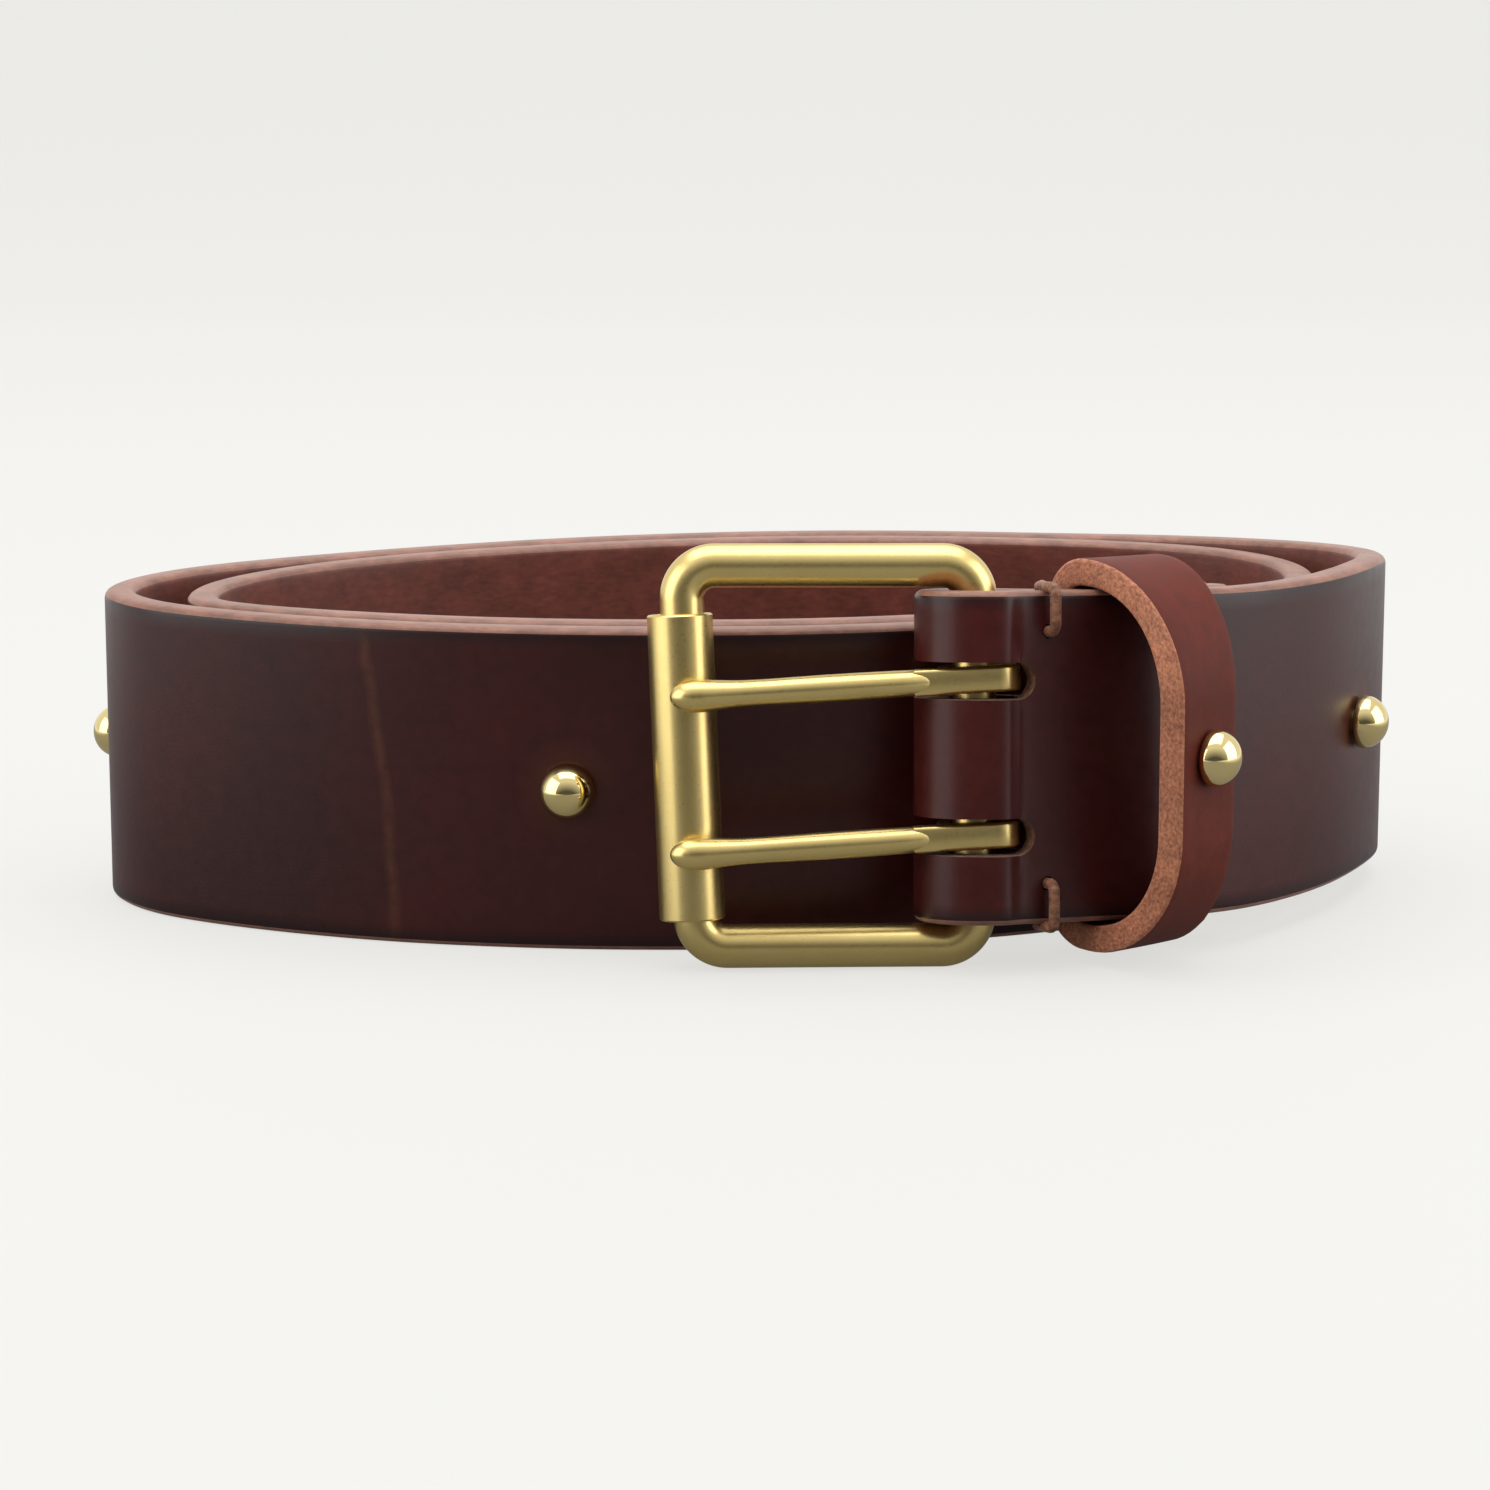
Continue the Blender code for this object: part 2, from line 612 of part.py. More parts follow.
def make_keeper():
    band = bmesh.new()
    widths = np.linspace(-KEEPER_WIDTH / 2, KEEPER_WIDTH / 2, 4)
    rows = [[band.verts.new(keeper_middle(w, out, z)) for w in widths]
            for out, z in keeper_profile()]
    for i, row in enumerate(rows):
        following = rows[(i + 1) % len(rows)]
        for k in range(len(widths) - 1):
            band.faces.new((row[k], row[k + 1], following[k + 1], following[k]))
    keeper = add_object("keeper", band, leather("keeper", RUSSET))
    wall = keeper.modifiers.new("wall", "SOLIDIFY")
    wall.thickness = KEEPER_THICK
    wall.offset = 0
    wall.use_even_offset = True
    seat = stud_cutter(KEEPER_THICK)
    shape = bmesh.new()
    shape.from_mesh(keeper.evaluated_get(bpy.context.evaluated_depsgraph_get()).data)
    keeper.modifiers.clear()
    shape.to_mesh(keeper.data)
    shape.free()
    bmesh.ops.transform(seat, verts=seat.verts, matrix=keeper_stud_place())
    combine(keeper, seat, "DIFFERENCE")


def keeper_stud_place():
    """Axes on the front leg of the keeper: z points out of the leather."""
    height = KEEPER_STUD_HEIGHT
    here = keeper_middle(0, 1, height)
    along = (keeper_middle(MM, 1, height) - keeper_middle(-MM, 1, height)).normalized()
    up = (keeper_middle(0, 1, height + MM) - here).normalized()
    out = along.cross(up).normalized()
    axes = Matrix((along, up, out)).transposed().to_4x4()
    return Matrix.Translation(here + out * KEEPER_THICK / 2) @ axes


# ------------------------------------------------------------------ studs and laces
def stud_shape(thick):
    """Domed head with a flat underside, and the tubular post that passes the leather."""
    post = thick - SCREW_SINK - 0.2 * MM
    bore = 1.3 * MM
    dome = arc((0, FIT_GAP + 0.6 * MM), 1, 0, 90, 5)
    rim = FIT_GAP + 0.6 * MM
    crown = STUD_HEIGHT - 0.6 * MM
    profile = [(0, -0.6 * MM), (bore, -0.6 * MM), (bore, -post), (POST_RADIUS, -post),
               (POST_RADIUS, FIT_GAP), (STUD_RADIUS - 0.3 * MM, FIT_GAP), (STUD_RADIUS, rim)]
    for x, y in dome[1:]:
        profile.append((STUD_RADIUS * x, rim + crown * (y - rim)))
    return turned(profile, 16)


def screw_shape(thick):
    """Thin slotted head on the flesh side, and the screw that goes into the post."""
    face = thick - SCREW_SINK + SCREW_GAP
    shank = 1.0 * MM
    profile = [(0, -1.2 * MM), (shank, -1.2 * MM), (shank, -face), (SCREW_RADIUS, -face),
               (SCREW_RADIUS, -face - SCREW_HEAD + 0.25 * MM),
               (SCREW_RADIUS - 0.25 * MM, -face - SCREW_HEAD), (0, -face - SCREW_HEAD)]
    return turned(profile, 16)


def outward(place):
    """Turn strap axes so that z points out of the grain side."""
    return place @ Matrix.Rotation(math.radians(90), 4, "X")


def make_fastener(stud_name, screw_name, thick, place):
    add_object(stud_name, stud_shape(thick), brass(stud_name), place)
    screw = add_object(screw_name, screw_shape(thick), brass(screw_name), place)
    slot = bmesh.new()
    cut_depth = -(thick - SCREW_SINK + SCREW_GAP + SCREW_HEAD)
    size = Matrix.Diagonal((3 * SCREW_RADIUS, MM, MM, 1))
    bmesh.ops.create_cube(slot, size=1, matrix=Matrix.Translation((0, 0, cut_depth)) @ size)
    combine(screw, slot, "DIFFERENCE")


def make_laces():
    """Four lace stitches that hold the fold: each goes over the edge and through both layers."""
    names = ("front", "rear")
    for label, s in zip(names, LACE_PLACES):
        for side, end in ((1, "top"), (-1, "bottom")):
            edge = STRAP_WIDTH / 2 + side * STRAP_WIDTH / 2
            clear = FIT_GAP + LACE_RADIUS - LACE_SINK
            near, far = -clear, fold_depth(s) + clear
            hole, over = edge - side * LACE_INSET, edge + side * clear
            corners = [Vector((near, hole)), Vector((far, hole)),
                       Vector((far, over)), Vector((near, over))]
            turn = rounded_loop(corners, [1.2 * MM] * 4, 3)
            turn.insert(12, Vector((STRAP_THICK, over)))
            turn.insert(4, Vector((STRAP_THICK, hole)))
            loop = [through_fold(s, p.x, p.y) for p in turn]
            name = f"lace_{label}_{end}"
            add_object(name, tube(loop, LACE_RADIUS, 8, closed=True), leather(name, TAN))


def main():
    clear_scene()
    make_strap()
    make_frame()
    make_roller()
    for name, height in zip(("prong_upper", "prong_lower"), PRONG_HEIGHTS):
        make_prong(name, height)
    make_keeper()
    for number, s in enumerate(STUD_PLACES, 1):
        place = outward(strap_frame(s, 0, STRAP_WIDTH / 2))
        make_fastener(f"stud_{number}", f"screw_{number}", STRAP_THICK, place)
    make_fastener("keeper_stud", "keeper_screw", KEEPER_THICK, keeper_stud_place())
    make_laces()


main()
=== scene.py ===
# %% [markdown]
# A coiled leather belt with a double-prong roller buckle.
#
# The frame is the belt's solid model, in metres, with one body for each part that moves. Here
# the strap, buckle, keeper, studs and laces are built again with finer shapes, and each piece
# rides on its body. The screws behind the studs are plain enough to keep as they are.

# %% Load the frame
import math

import bmesh
import bpy
import numpy as np
from mathutils import Matrix, Vector


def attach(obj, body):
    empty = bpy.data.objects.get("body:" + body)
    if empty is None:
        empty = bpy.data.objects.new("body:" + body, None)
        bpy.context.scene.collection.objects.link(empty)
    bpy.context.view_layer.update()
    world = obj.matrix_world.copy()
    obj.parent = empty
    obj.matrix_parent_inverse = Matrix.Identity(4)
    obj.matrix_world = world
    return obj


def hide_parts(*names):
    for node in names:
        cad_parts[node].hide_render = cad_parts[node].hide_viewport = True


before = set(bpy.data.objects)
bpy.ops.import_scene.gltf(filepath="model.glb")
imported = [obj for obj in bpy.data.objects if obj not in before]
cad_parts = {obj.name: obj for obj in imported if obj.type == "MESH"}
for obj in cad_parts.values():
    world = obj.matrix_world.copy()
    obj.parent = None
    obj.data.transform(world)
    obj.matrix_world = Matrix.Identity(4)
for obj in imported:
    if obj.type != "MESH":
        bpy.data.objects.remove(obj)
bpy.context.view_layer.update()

scene = bpy.context.scene
MM = 0.001

# %% [markdown]
# The leather is one strap, cut flat and then rolled up along a route. It could be modelled as a
# bent band straight away, but cutting it flat keeps its holes round and its length true, as at
# the maker's bench. These sizes describe the strap, the route and the place of the buckle.

# %% Sizes
WIDTH = 44.45 * MM
THICK = 4.5 * MM
LENGTH = 938 * MM
FOLD_BACK = 55.5 * MM
TURN_GAP = 1.4 * MM
FIT = 0.3 * MM
SLACK = 0.5 * MM
WIRE = 5.9 * MM
FRAME_HEIGHT = 56.9 * MM
TOP_WIDTH = 45.4 * MM
FOOT_WIDTH = 43.3 * MM
CORNER = 4.4 * MM
STUDS = [s * MM for s in (88, 168.5, 249.5, 335, 424.8, 508)]
LACES = [23 * MM, 46.5 * MM]
SLOTS = [10.3 * MM, -10.5 * MM]
PRONGS = [10.4 * MM, -10.5 * MM]
BAR = Vector((30.8, -4.6)) * MM
LEAN = math.radians(7)
YAW = math.radians(3.5)
BAR_MIDDLE = (FRAME_HEIGHT - WIRE) / 2 * math.cos(LEAN) + WIRE / 2
FOLD_LIFT = BAR_MIDDLE - WIDTH / 2
ORIGIN = Vector((-0.795, 38.918, 0)) * MM
print("bar middle is", round(BAR_MIDDLE / MM, 2), "mm up")
print("the fold is lifted", round(FOLD_LIFT / MM, 2), "mm")

# %% [markdown]
# ## The route
# A curve object could carry the strap, but the strap has to touch itself turn by turn. So a
# natural cubic spline goes through a few plan points of the outer face, once round the outside.
# The second turn follows it, one leather thickness and a little air further in.

# %% Plan points of the outer face, in millimetres
FRONT_AND_RIGHT = [
    (35, -12.5), (39, -11.3), (43.4, -9.5), (50, -6.2), (58.6, -1.6), (67, 4.6), (75.9, 14.3),
    (83.3, 24.5), (89.6, 36.9), (93.5, 50), (92.8, 62.7), (87.3, 73.7)]
BACK_AND_LEFT = [
    (78.6, 82.6), (68.3, 89.5), (56.3, 94.2), (42.5, 97.3), (22.8, 99.4), (2.1, 98.5),
    (-18.6, 94.1), (-37.9, 87.1), (-55.8, 78.1), (-71.6, 68.4), (-83.9, 58),
    (-90.4, 46.8), (-91.7, 37.2), (-88.8, 29.2)]
FRONT_AGAIN = [
    (-83.9, 22.9), (-76.6, 17.4), (-68.2, 12.8), (-58.5, 8.6), (-46.9, 4.8), (-33.7, 2.1),
    (-20.5, 0.6), (-7.5, 0.3), (7.5, 1.1), (22.5, 4.1), (37.7, 9), (52.2, 16.2), (65.7, 25.3),
    (76.3, 34.8), (82.6, 47.6), (83.4, 60)]
INNER_LEFT = [(-77.5, 45), (-79.4, 34.4), (-76.4, 25)]
NEST_BACK = [s * MM for s in (145, 165, 187, 211, 235, 259, 282)]
NEST_FRONT = [s * MM for s in (370, 391, 412, 434, 456, 478, 500, 522, 540)]


def arc(centre, radius, start, end, steps):
    angles = np.radians(np.linspace(start, end, steps + 1))
    return [(centre[0] + radius * math.cos(a), centre[1] + radius * math.sin(a)) for a in angles]


def run_lengths(line):
    return np.concatenate([[0], np.cumsum(np.linalg.norm(np.diff(line, axis=0), axis=1))])


def tangents(line):
    run = np.gradient(line, axis=0)
    return run / np.linalg.norm(run, axis=1)[:, None]


def smooth_curve(points, spacing=0.5 * MM):
    """A natural cubic spline through plan points, read at an even spacing."""
    knots = np.array(points)
    gaps = np.linalg.norm(np.diff(knots, axis=0), axis=1)
    along = np.concatenate([[0], np.cumsum(gaps)])
    count = len(knots)
    system = np.eye(count)
    right = np.zeros((count, 2))
    for i in range(1, count - 1):
        before, after = gaps[i - 1], gaps[i]
        system[i, i - 1:i + 2] = before, 2 * (before + after), after
        steps = (knots[i + 1] - knots[i]) / after - (knots[i] - knots[i - 1]) / before
        right[i] = 6 * steps
    bend = np.linalg.solve(system, right)
    places = np.arange(0, along[-1], spacing)
    k = np.clip(np.searchsorted(along, places, side="right") - 1, 0, count - 2)
    h = gaps[k][:, None]
    a = (along[k + 1] - places)[:, None] / h
    b = 1 - a
    curve = (a ** 3 - a) * bend[k] + (b ** 3 - b) * bend[k + 1]
    return a * knots[k] + b * knots[k + 1] + curve * h ** 2 / 6


def inside(line, at, distance):
    """Points at the given runs along a line, moved towards the coil's middle."""
    along = run_lengths(line)
    run = tangents(line)
    shifted = line + distance * np.column_stack([-run[:, 1], run[:, 0]])
    return [(np.interp(s, along, shifted[:, 0]), np.interp(s, along, shifted[:, 1])) for s in at]


def plan_route():
    wrap = WIRE / 2 + FIT + SLACK + THICK
    quarter = wrap * math.pi / 2
    wrap_points = np.array(arc(BAR, wrap, 90, 270, 60))
    lead = [tuple(wrap_points[-3]), tuple(wrap_points[-1])]
    plan = FRONT_AND_RIGHT + BACK_AND_LEFT + FRONT_AGAIN
    outer_knots = lead + [(x * MM, y * MM) for x, y in plan]
    outer = smooth_curve(outer_knots)
    start = np.linalg.norm(wrap_points[-1] - wrap_points[-3]) - quarter
    pitch = THICK + TURN_GAP
    back = inside(outer, [s + start for s in NEST_BACK], pitch)
    front = inside(outer, [s + start for s in NEST_FRONT], pitch)
    curl = [(x * MM, y * MM) for x, y in INNER_LEFT]
    main = smooth_curve(outer_knots + back + curl + front)
    main = main[run_lengths(main) > start + quarter]
    tail = inside(main, [s * MM for s in (45, 37, 29, 21, 15)], 2 * THICK + FIT)
    tail = smooth_curve(tail + [tuple(wrap_points[0]), tuple(wrap_points[2])])
    tail = tail[tail[:, 0] > BAR.x]
    return np.vstack([tail, wrap_points, main]), len(tail) + 30


def even(line, spacing=0.5 * MM):
    """Read a line again at an even spacing, and ease out what is left of its corners."""
    along = run_lengths(line)
    marks = np.arange(0, along[-1], spacing)
    out = np.column_stack([np.interp(marks, along, line[:, axis]) for axis in (0, 1)])
    for _ in range(12):
        out[1:-1] = (out[:-2] + 2 * out[1:-1] + out[2:]) / 4
    return out


raw_route, fold_index = plan_route()
fold_start = run_lengths(raw_route)[fold_index]
ROUTE = even(raw_route)
ROUTE_S = run_lengths(ROUTE) - fold_start
ROUTE_T = tangents(ROUTE)
print("route runs from", round(ROUTE_S[0] / MM), "to", round(ROUTE_S[-1] / MM), "mm")

# %% [markdown]
# `rolled` turns a place on the flat strap into a place in the coil. The tall buckle frame
# carries its end of the strap, so that end is lifted and leans back with the buckle. Both ease
# away along the strap, because thick leather twists slowly.


# %% From the flat strap to the coil
def ease(value, start, end):
    t = min(max((value - start) / (end - start), 0), 1)
    return t * t * (3 - 2 * t)


def lift(s):
    return FOLD_LIFT * (1 - ease(abs(s), 30 * MM, 186 * MM))


def rolled(s, depth, height):
    """World place of a point of the flat strap: run s, depth below the grain, height up."""
    x, y = (np.interp(s, ROUTE_S, ROUTE[:, axis]) for axis in (0, 1))
    tx, ty = (np.interp(s, ROUTE_S, ROUTE_T[:, axis]) for axis in (0, 1))
    point = Vector((x - depth * ty, y + depth * tx, lift(s) + height))
    angle = LEAN * (1 - ease(abs(s), 20 * MM, 100 * MM))
    pivot = Vector((0, BAR.y, BAR_MIDDLE))
    return Matrix.Rotation(-angle, 3, "X") @ (point - pivot) + pivot - ORIGIN


def strap_axes(s, depth, height):
    """Axes on the strap: x along it, y inwards, z up."""
    here = rolled(s, depth, height)
    along = (rolled(s + MM, depth, height) - rolled(s - MM, depth, height)).normalized()
    up = (rolled(s, depth, height + MM) - here).normalized()
    inwards = up.cross(along).normalized()
    axes = Matrix((along, inwards, along.cross(inwards))).transposed().to_4x4()
    return Matrix.Translation(here) @ axes


def behind(s):
    """Run along the turned-back end at the point that lies behind run s of the front."""
    here = rolled(s, THICK, WIDTH / 2)
    runs = np.arange(-FOLD_BACK, -18 * MM, 0.25 * MM)
    return min(runs, key=lambda r: (rolled(r, 0, WIDTH / 2) - here).length)


def fold_depth(s):
    return THICK + (rolled(behind(s), 0, WIDTH / 2) - rolled(s, THICK, WIDTH / 2)).length


print("fold middle at", rolled(0, 0, WIDTH / 2), "tip at", rolled(LENGTH, 0, WIDTH / 2))


# %% [markdown]
# ## Materials
# Leather and brass are both natural surfaces with no picture on them, so they are made from
# noise. A material could be wired by hand in the shader editor. Here a few small helpers add
# one node each and give back its output, so that a material reads like a recipe.

# %% Node helpers
def link(tree, out, into):
    tree.links.new(out, into)


def feed(tree, socket, value):
    """Link a socket to another one, or set it to a plain value."""
    if isinstance(value, bpy.types.NodeSocket):
        link(tree, value, socket)
    else:
        socket.default_value = value


def mix(tree, amount, one, two, blend="MIX"):
    item = tree.nodes.new("ShaderNodeMix")
    item.data_type = "RGBA"
    item.blend_type = blend
    for number, value in zip((0, 6, 7), (amount, one, two)):
        feed(tree, item.inputs[number], value)
    return item.outputs[2]


def ramp(tree, value, stops):
    item = tree.nodes.new("ShaderNodeValToRGB")
    link(tree, value, item.inputs[0])
    marks = item.color_ramp.elements
    while len(marks) < len(stops):
        marks.new(0.5)
    for mark, (place, colour) in zip(marks, stops):
        mark.position = place
        mark.color = colour
    return item.outputs[0]


def math_node(tree, operation, *values):
    item = tree.nodes.new("ShaderNodeMath")
    item.operation = operation
    for socket, value in zip(item.inputs, values):
        feed(tree, socket, value)
    return item.outputs[0]


def noise(tree, vector, scale, detail=4.0, rough=0.5):
    item = tree.nodes.new("ShaderNodeTexNoise")
    link(tree, vector, item.inputs["Vector"])
    item.inputs["Scale"].default_value = scale
    item.inputs["Detail"].default_value = detail
    item.inputs["Roughness"].default_value = rough
    return item.outputs["Fac"]


def stretched(tree, vector, scale):
    item = tree.nodes.new("ShaderNodeMapping")
    link(tree, vector, item.inputs["Vector"])
    item.inputs["Scale"].default_value = scale
    return item.outputs[0]


def grey(v):
    return (v, v, v, 1)


def new_group(name, inputs, outputs):
    group = bpy.data.node_groups.new(name, "ShaderNodeTree")
    for label, kind in inputs:
        group.interface.new_socket(label, in_out="INPUT", socket_type=kind)
    for label, kind in outputs:
        group.interface.new_socket(label, in_out="OUTPUT", socket_type=kind)
    return group, group.nodes.new("NodeGroupInput"), group.nodes.new("NodeGroupOutput")


# %% [markdown]
# Leather has fine pores, a slow cloudiness in its dye and a few hair-thin scratches. The strap
# and the keeper share these, so they are one node group. It gives out values only: cloud,
# mottle, scratches and a height for the bump. The shader itself stays in each material.

# %% Leather group
VEC, VAL = "NodeSocketVector", "NodeSocketFloat"
SKIN_VALUES = [(label, VAL) for label in ("Cloud", "Mottle", "Height", "Scratch")]
skin, skin_in, skin_out = new_group("leather_skin", [("Place", VEC)], SKIN_VALUES)
place = skin_in.outputs["Place"]
cloud = noise(skin, place, 28, 3)
mottle = noise(skin, place, 420, 6, 0.62)
pores = skin.nodes.new("ShaderNodeTexVoronoi")
pores.feature = "DISTANCE_TO_EDGE"
link(skin, place, pores.inputs["Vector"])
pores.inputs["Scale"].default_value = 1500
pore_height = math_node(skin, "MINIMUM", pores.outputs[0], 0.25)
fine = noise(skin, place, 3600, 3)
height = math_node(skin, "MULTIPLY_ADD", fine, 0.25, pore_height)
scratch = noise(skin, stretched(skin, place, (1, 1, 9)), 160, 5, 0.7)
scratch = math_node(skin, "GREATER_THAN", scratch, 0.735)
for (label, _), value in zip(SKIN_VALUES, (cloud, mottle, height, scratch)):
    link(skin, value, skin_out.inputs[label])
print("leather group has", len(skin.nodes), "nodes")


# %% Material helpers
def new_material(name):
    material = bpy.data.materials.new(name)
    material.use_nodes = True
    tree = material.node_tree
    shader = tree.nodes["Principled BSDF"]
    return material, tree, shader


def use_group(tree, group, vector):
    item = tree.nodes.new("ShaderNodeGroup")
    item.node_tree = group
    link(tree, vector, item.inputs[0])
    return item.outputs


def object_place(tree):
    return tree.nodes.new("ShaderNodeTexCoord").outputs["Object"]


def own_place(tree):
    """The place on the flat leather, kept as an attribute of the mesh."""
    item = tree.nodes.new("ShaderNodeAttribute")
    item.attribute_name = "flat"
    return item.outputs["Vector"]


def bump(tree, height, strength, distance):
    item = tree.nodes.new("ShaderNodeBump")
    link(tree, height, item.inputs["Height"])
    item.inputs["Strength"].default_value = strength
    item.inputs["Distance"].default_value = distance
    return item.outputs["Normal"]


# %% [markdown]
# The strap's grain side is a dark burgundy with a waxed shine. It gets redder at the fold, where
# the leather has been bent and handled, and it is also painted lighter there as a painted
# highlight for the sheen on the bands. One slanting vein shows as an orange line, the leather is
# browner round the studs, and its burnished rims are nearly black. Each of these is a mask that
# reads the place on the flat strap, so that it stays put when the strap is rolled up.

# %% Marks on the strap
# Painted highlight and tint: near the fold the grain is made redder, as handled leather, and
# lighter, as a painted sheen on the bands.
def fold_redness_and_light(tree, run):
    near = math_node(tree, "ABSOLUTE", run)
    near = math_node(tree, "MULTIPLY", near, 10)
    return ramp(tree, near, [(0.12, grey(1)), (0.34, grey(0))])


def vein_mask(tree, flat, run, up, mottle):
    """A thin line that leans towards the fold as it rises."""
    slant = math_node(tree, "MULTIPLY_ADD", math_node(tree, "MULTIPLY", up, up), 2.25, run)
    wander = noise(tree, flat, 60, 2)
    slant = math_node(tree, "MULTIPLY_ADD", wander, 0.0014, slant)
    away = math_node(tree, "ABSOLUTE", math_node(tree, "SUBTRACT", slant, VEIN_RUN))
    line = ramp(tree, math_node(tree, "MULTIPLY", away, 700), [(0.1, grey(1)), (0.8, grey(0))])
    faded = ramp(tree, mottle, [(0.35, grey(0.25)), (0.65, grey(0.55))])
    return mix(tree, 1.0, line, faded, "MULTIPLY")


def stud_ring(tree, run, up, stud_run):
    level = tree.nodes.new("ShaderNodeCombineXYZ")
    link(tree, run, level.inputs[0])
    link(tree, up, level.inputs[2])
    away = tree.nodes.new("ShaderNodeVectorMath")
    away.operation = "DISTANCE"
    link(tree, level.outputs[0], away.inputs[0])
    away.inputs[1].default_value = (stud_run, 0, WIDTH / 2)
    away = math_node(tree, "MULTIPLY", away.outputs["Value"], 100)
    return ramp(tree, away, [(0.38, grey(0.55)), (0.75, grey(0))])


def rim_mask(tree, up):
    off_middle = math_node(tree, "ABSOLUTE", math_node(tree, "SUBTRACT", up, WIDTH / 2))
    from_rim = math_node(tree, "SUBTRACT", WIDTH / 2, off_middle)
    from_rim = math_node(tree, "MULTIPLY", from_rim, 300)
    return ramp(tree, from_rim, [(0.34, grey(0.75)), (0.8, grey(0))])


VEIN_RUN = 400.9 * MM
# Painted highlight: this lifts the grain's colour at the fold, partly as redder leather and partly
# as painted sheen on the bands.
FOLD_TINT_AND_LIGHT = (1.55, 1.5, 1.3, 1)
SCRATCH_TINT = (1.25, 1.25, 1.3, 1)
VEIN_BROWN = (0.10, 0.032, 0.013, 1)
RING_BROWN = (0.075, 0.02, 0.009, 1)
RIM_BLACK = (0.012, 0.004, 0.004, 1)


# %% Grain material
def marked(tree, colour, flat, mottle):
    """The strap's own marks on top of the plain dye."""
    parts = tree.nodes.new("ShaderNodeSeparateXYZ")
    link(tree, flat, parts.inputs[0])
    run, up = parts.outputs[0], parts.outputs[2]
    # Painted highlight at the fold, mixed with a redder leather tone.
    redder_and_lit = mix(tree, 1.0, colour, FOLD_TINT_AND_LIGHT, "MULTIPLY")
    colour = mix(tree, fold_redness_and_light(tree, run), colour, redder_and_lit)
    colour = mix(tree, vein_mask(tree, flat, run, up, mottle), colour, VEIN_BROWN)
    for stud_run in STUDS:
        colour = mix(tree, stud_ring(tree, run, up, stud_run), colour, RING_BROWN)
    return mix(tree, rim_mask(tree, up), colour, RIM_BLACK)


def leather_grain(name, dark, light, rough, coat, shine, marks=False):
    material, tree, shader = new_material(name)
    flat = own_place(tree)
    values = use_group(tree, skin, flat)
    dye = ramp(tree, values["Cloud"], [(0.35, grey(0)), (0.68, grey(1))])
    colour = mix(tree, dye, dark, light)
    speck = ramp(tree, values["Mottle"], [(0.32, grey(0.82)), (0.68, grey(1.12))])
    colour = mix(tree, 1.0, colour, speck, "MULTIPLY")
    if marks:
        colour = marked(tree, colour, flat, values["Mottle"])
    scratched = mix(tree, 1.0, colour, SCRATCH_TINT, "MULTIPLY")
    colour = mix(tree, values["Scratch"], colour, scratched)
    link(tree, colour, shader.inputs["Base Color"])
    gloss = math_node(tree, "MULTIPLY_ADD", values["Mottle"], 0.22, rough)
    link(tree, gloss, shader.inputs["Roughness"])
    shader.inputs["Specular IOR Level"].default_value = shine
    shader.inputs["Coat Weight"].default_value = coat
    shader.inputs["Coat Roughness"].default_value = 0.32
    link(tree, bump(tree, values["Height"], 0.22, 0.0001), shader.inputs["Normal"])
    return material


STRAP_DYE = (0.028, 0.0038, 0.0034, 1), (0.044, 0.0056, 0.0048, 1)
KEEPER_DYE = (0.085, 0.0150, 0.0095, 1), (0.118, 0.022, 0.0135, 1)
grain = leather_grain("strap_grain", *STRAP_DYE, 0.25, 0.35, 0.14, marks=True)
keeper_face = leather_grain("keeper_grain", *KEEPER_DYE, 0.42, 0.0, 0.10)
print("the strap's grain has", len(grain.node_tree.nodes), "nodes")


# %% [markdown]
# The flesh side, the cut edges, the walls of the holes and the laces show raw fibre. They differ
# in colour, in how coarse the fibre is and in how far it is pulled along the strap, so one
# function makes them all.

# %% Raw leather
def leather_rough(name, dark, light, strength=0.5, rough=0.62, fibre_scale=1300, pull=0.35):
    """Flesh side or a cut edge: fibrous, matt and uneven."""
    material, tree, shader = new_material(name)
    flat = own_place(tree)
    fibre = noise(tree, stretched(tree, flat, (pull, 1, 1)), fibre_scale, 6, 0.65)
    patch = noise(tree, flat, 190, 4, 0.6)
    colour = mix(tree, ramp(tree, fibre, [(0.36, grey(0)), (0.64, grey(1))]), dark, light)
    worn = ramp(tree, patch, [(0.3, grey(0.72)), (0.7, grey(1.15))])
    colour = mix(tree, 1.0, colour, worn, "MULTIPLY")
    link(tree, colour, shader.inputs["Base Color"])
    shader.inputs["Roughness"].default_value = rough
    shader.inputs["Specular IOR Level"].default_value = 0.35
    shader.inputs["Sheen Weight"].default_value = 0.08
    link(tree, bump(tree, fibre, strength, 0.00015), shader.inputs["Normal"])
    return material


FLESH = (0.115, 0.026, 0.0165, 1), (0.165, 0.040, 0.025, 1)
EDGE_TAN = (0.20, 0.085, 0.055, 1), (0.27, 0.122, 0.084, 1)
HOLE_BROWN = (0.05, 0.018, 0.009, 1), (0.26, 0.11, 0.05, 1)
KEEPER_TAN = (0.24, 0.075, 0.034, 1), (0.56, 0.215, 0.11, 1)
LACE_BROWN = (0.09, 0.03, 0.014, 1), (0.34, 0.14, 0.07, 1)
flesh = leather_rough("strap_flesh", *FLESH, 0.08, rough=0.5)
edge = leather_rough("strap_edge", *EDGE_TAN, 0.25, rough=0.42)
hole = leather_rough("strap_hole", *HOLE_BROWN, 0.9)
keeper_cut = leather_rough("keeper_cut", *KEEPER_TAN, 0.8, fibre_scale=2400, pull=0.8)
lace_skin = leather_rough("lace_leather", *LACE_BROWN, 0.8, rough=0.5)
raw_leathers = flesh, edge, hole, keeper_cut, lace_skin
print("raw leathers", [item.name for item in raw_leathers])


# %% [markdown]
# Brass comes in two finishes. The frame, roller and prongs are satin, with a fine dusty grain.
# The studs are polished. Both are the same metal, so one function makes them and only the
# roughness and the strength of the grain change. The screws keep their frame nodes and take
# the satin brass.

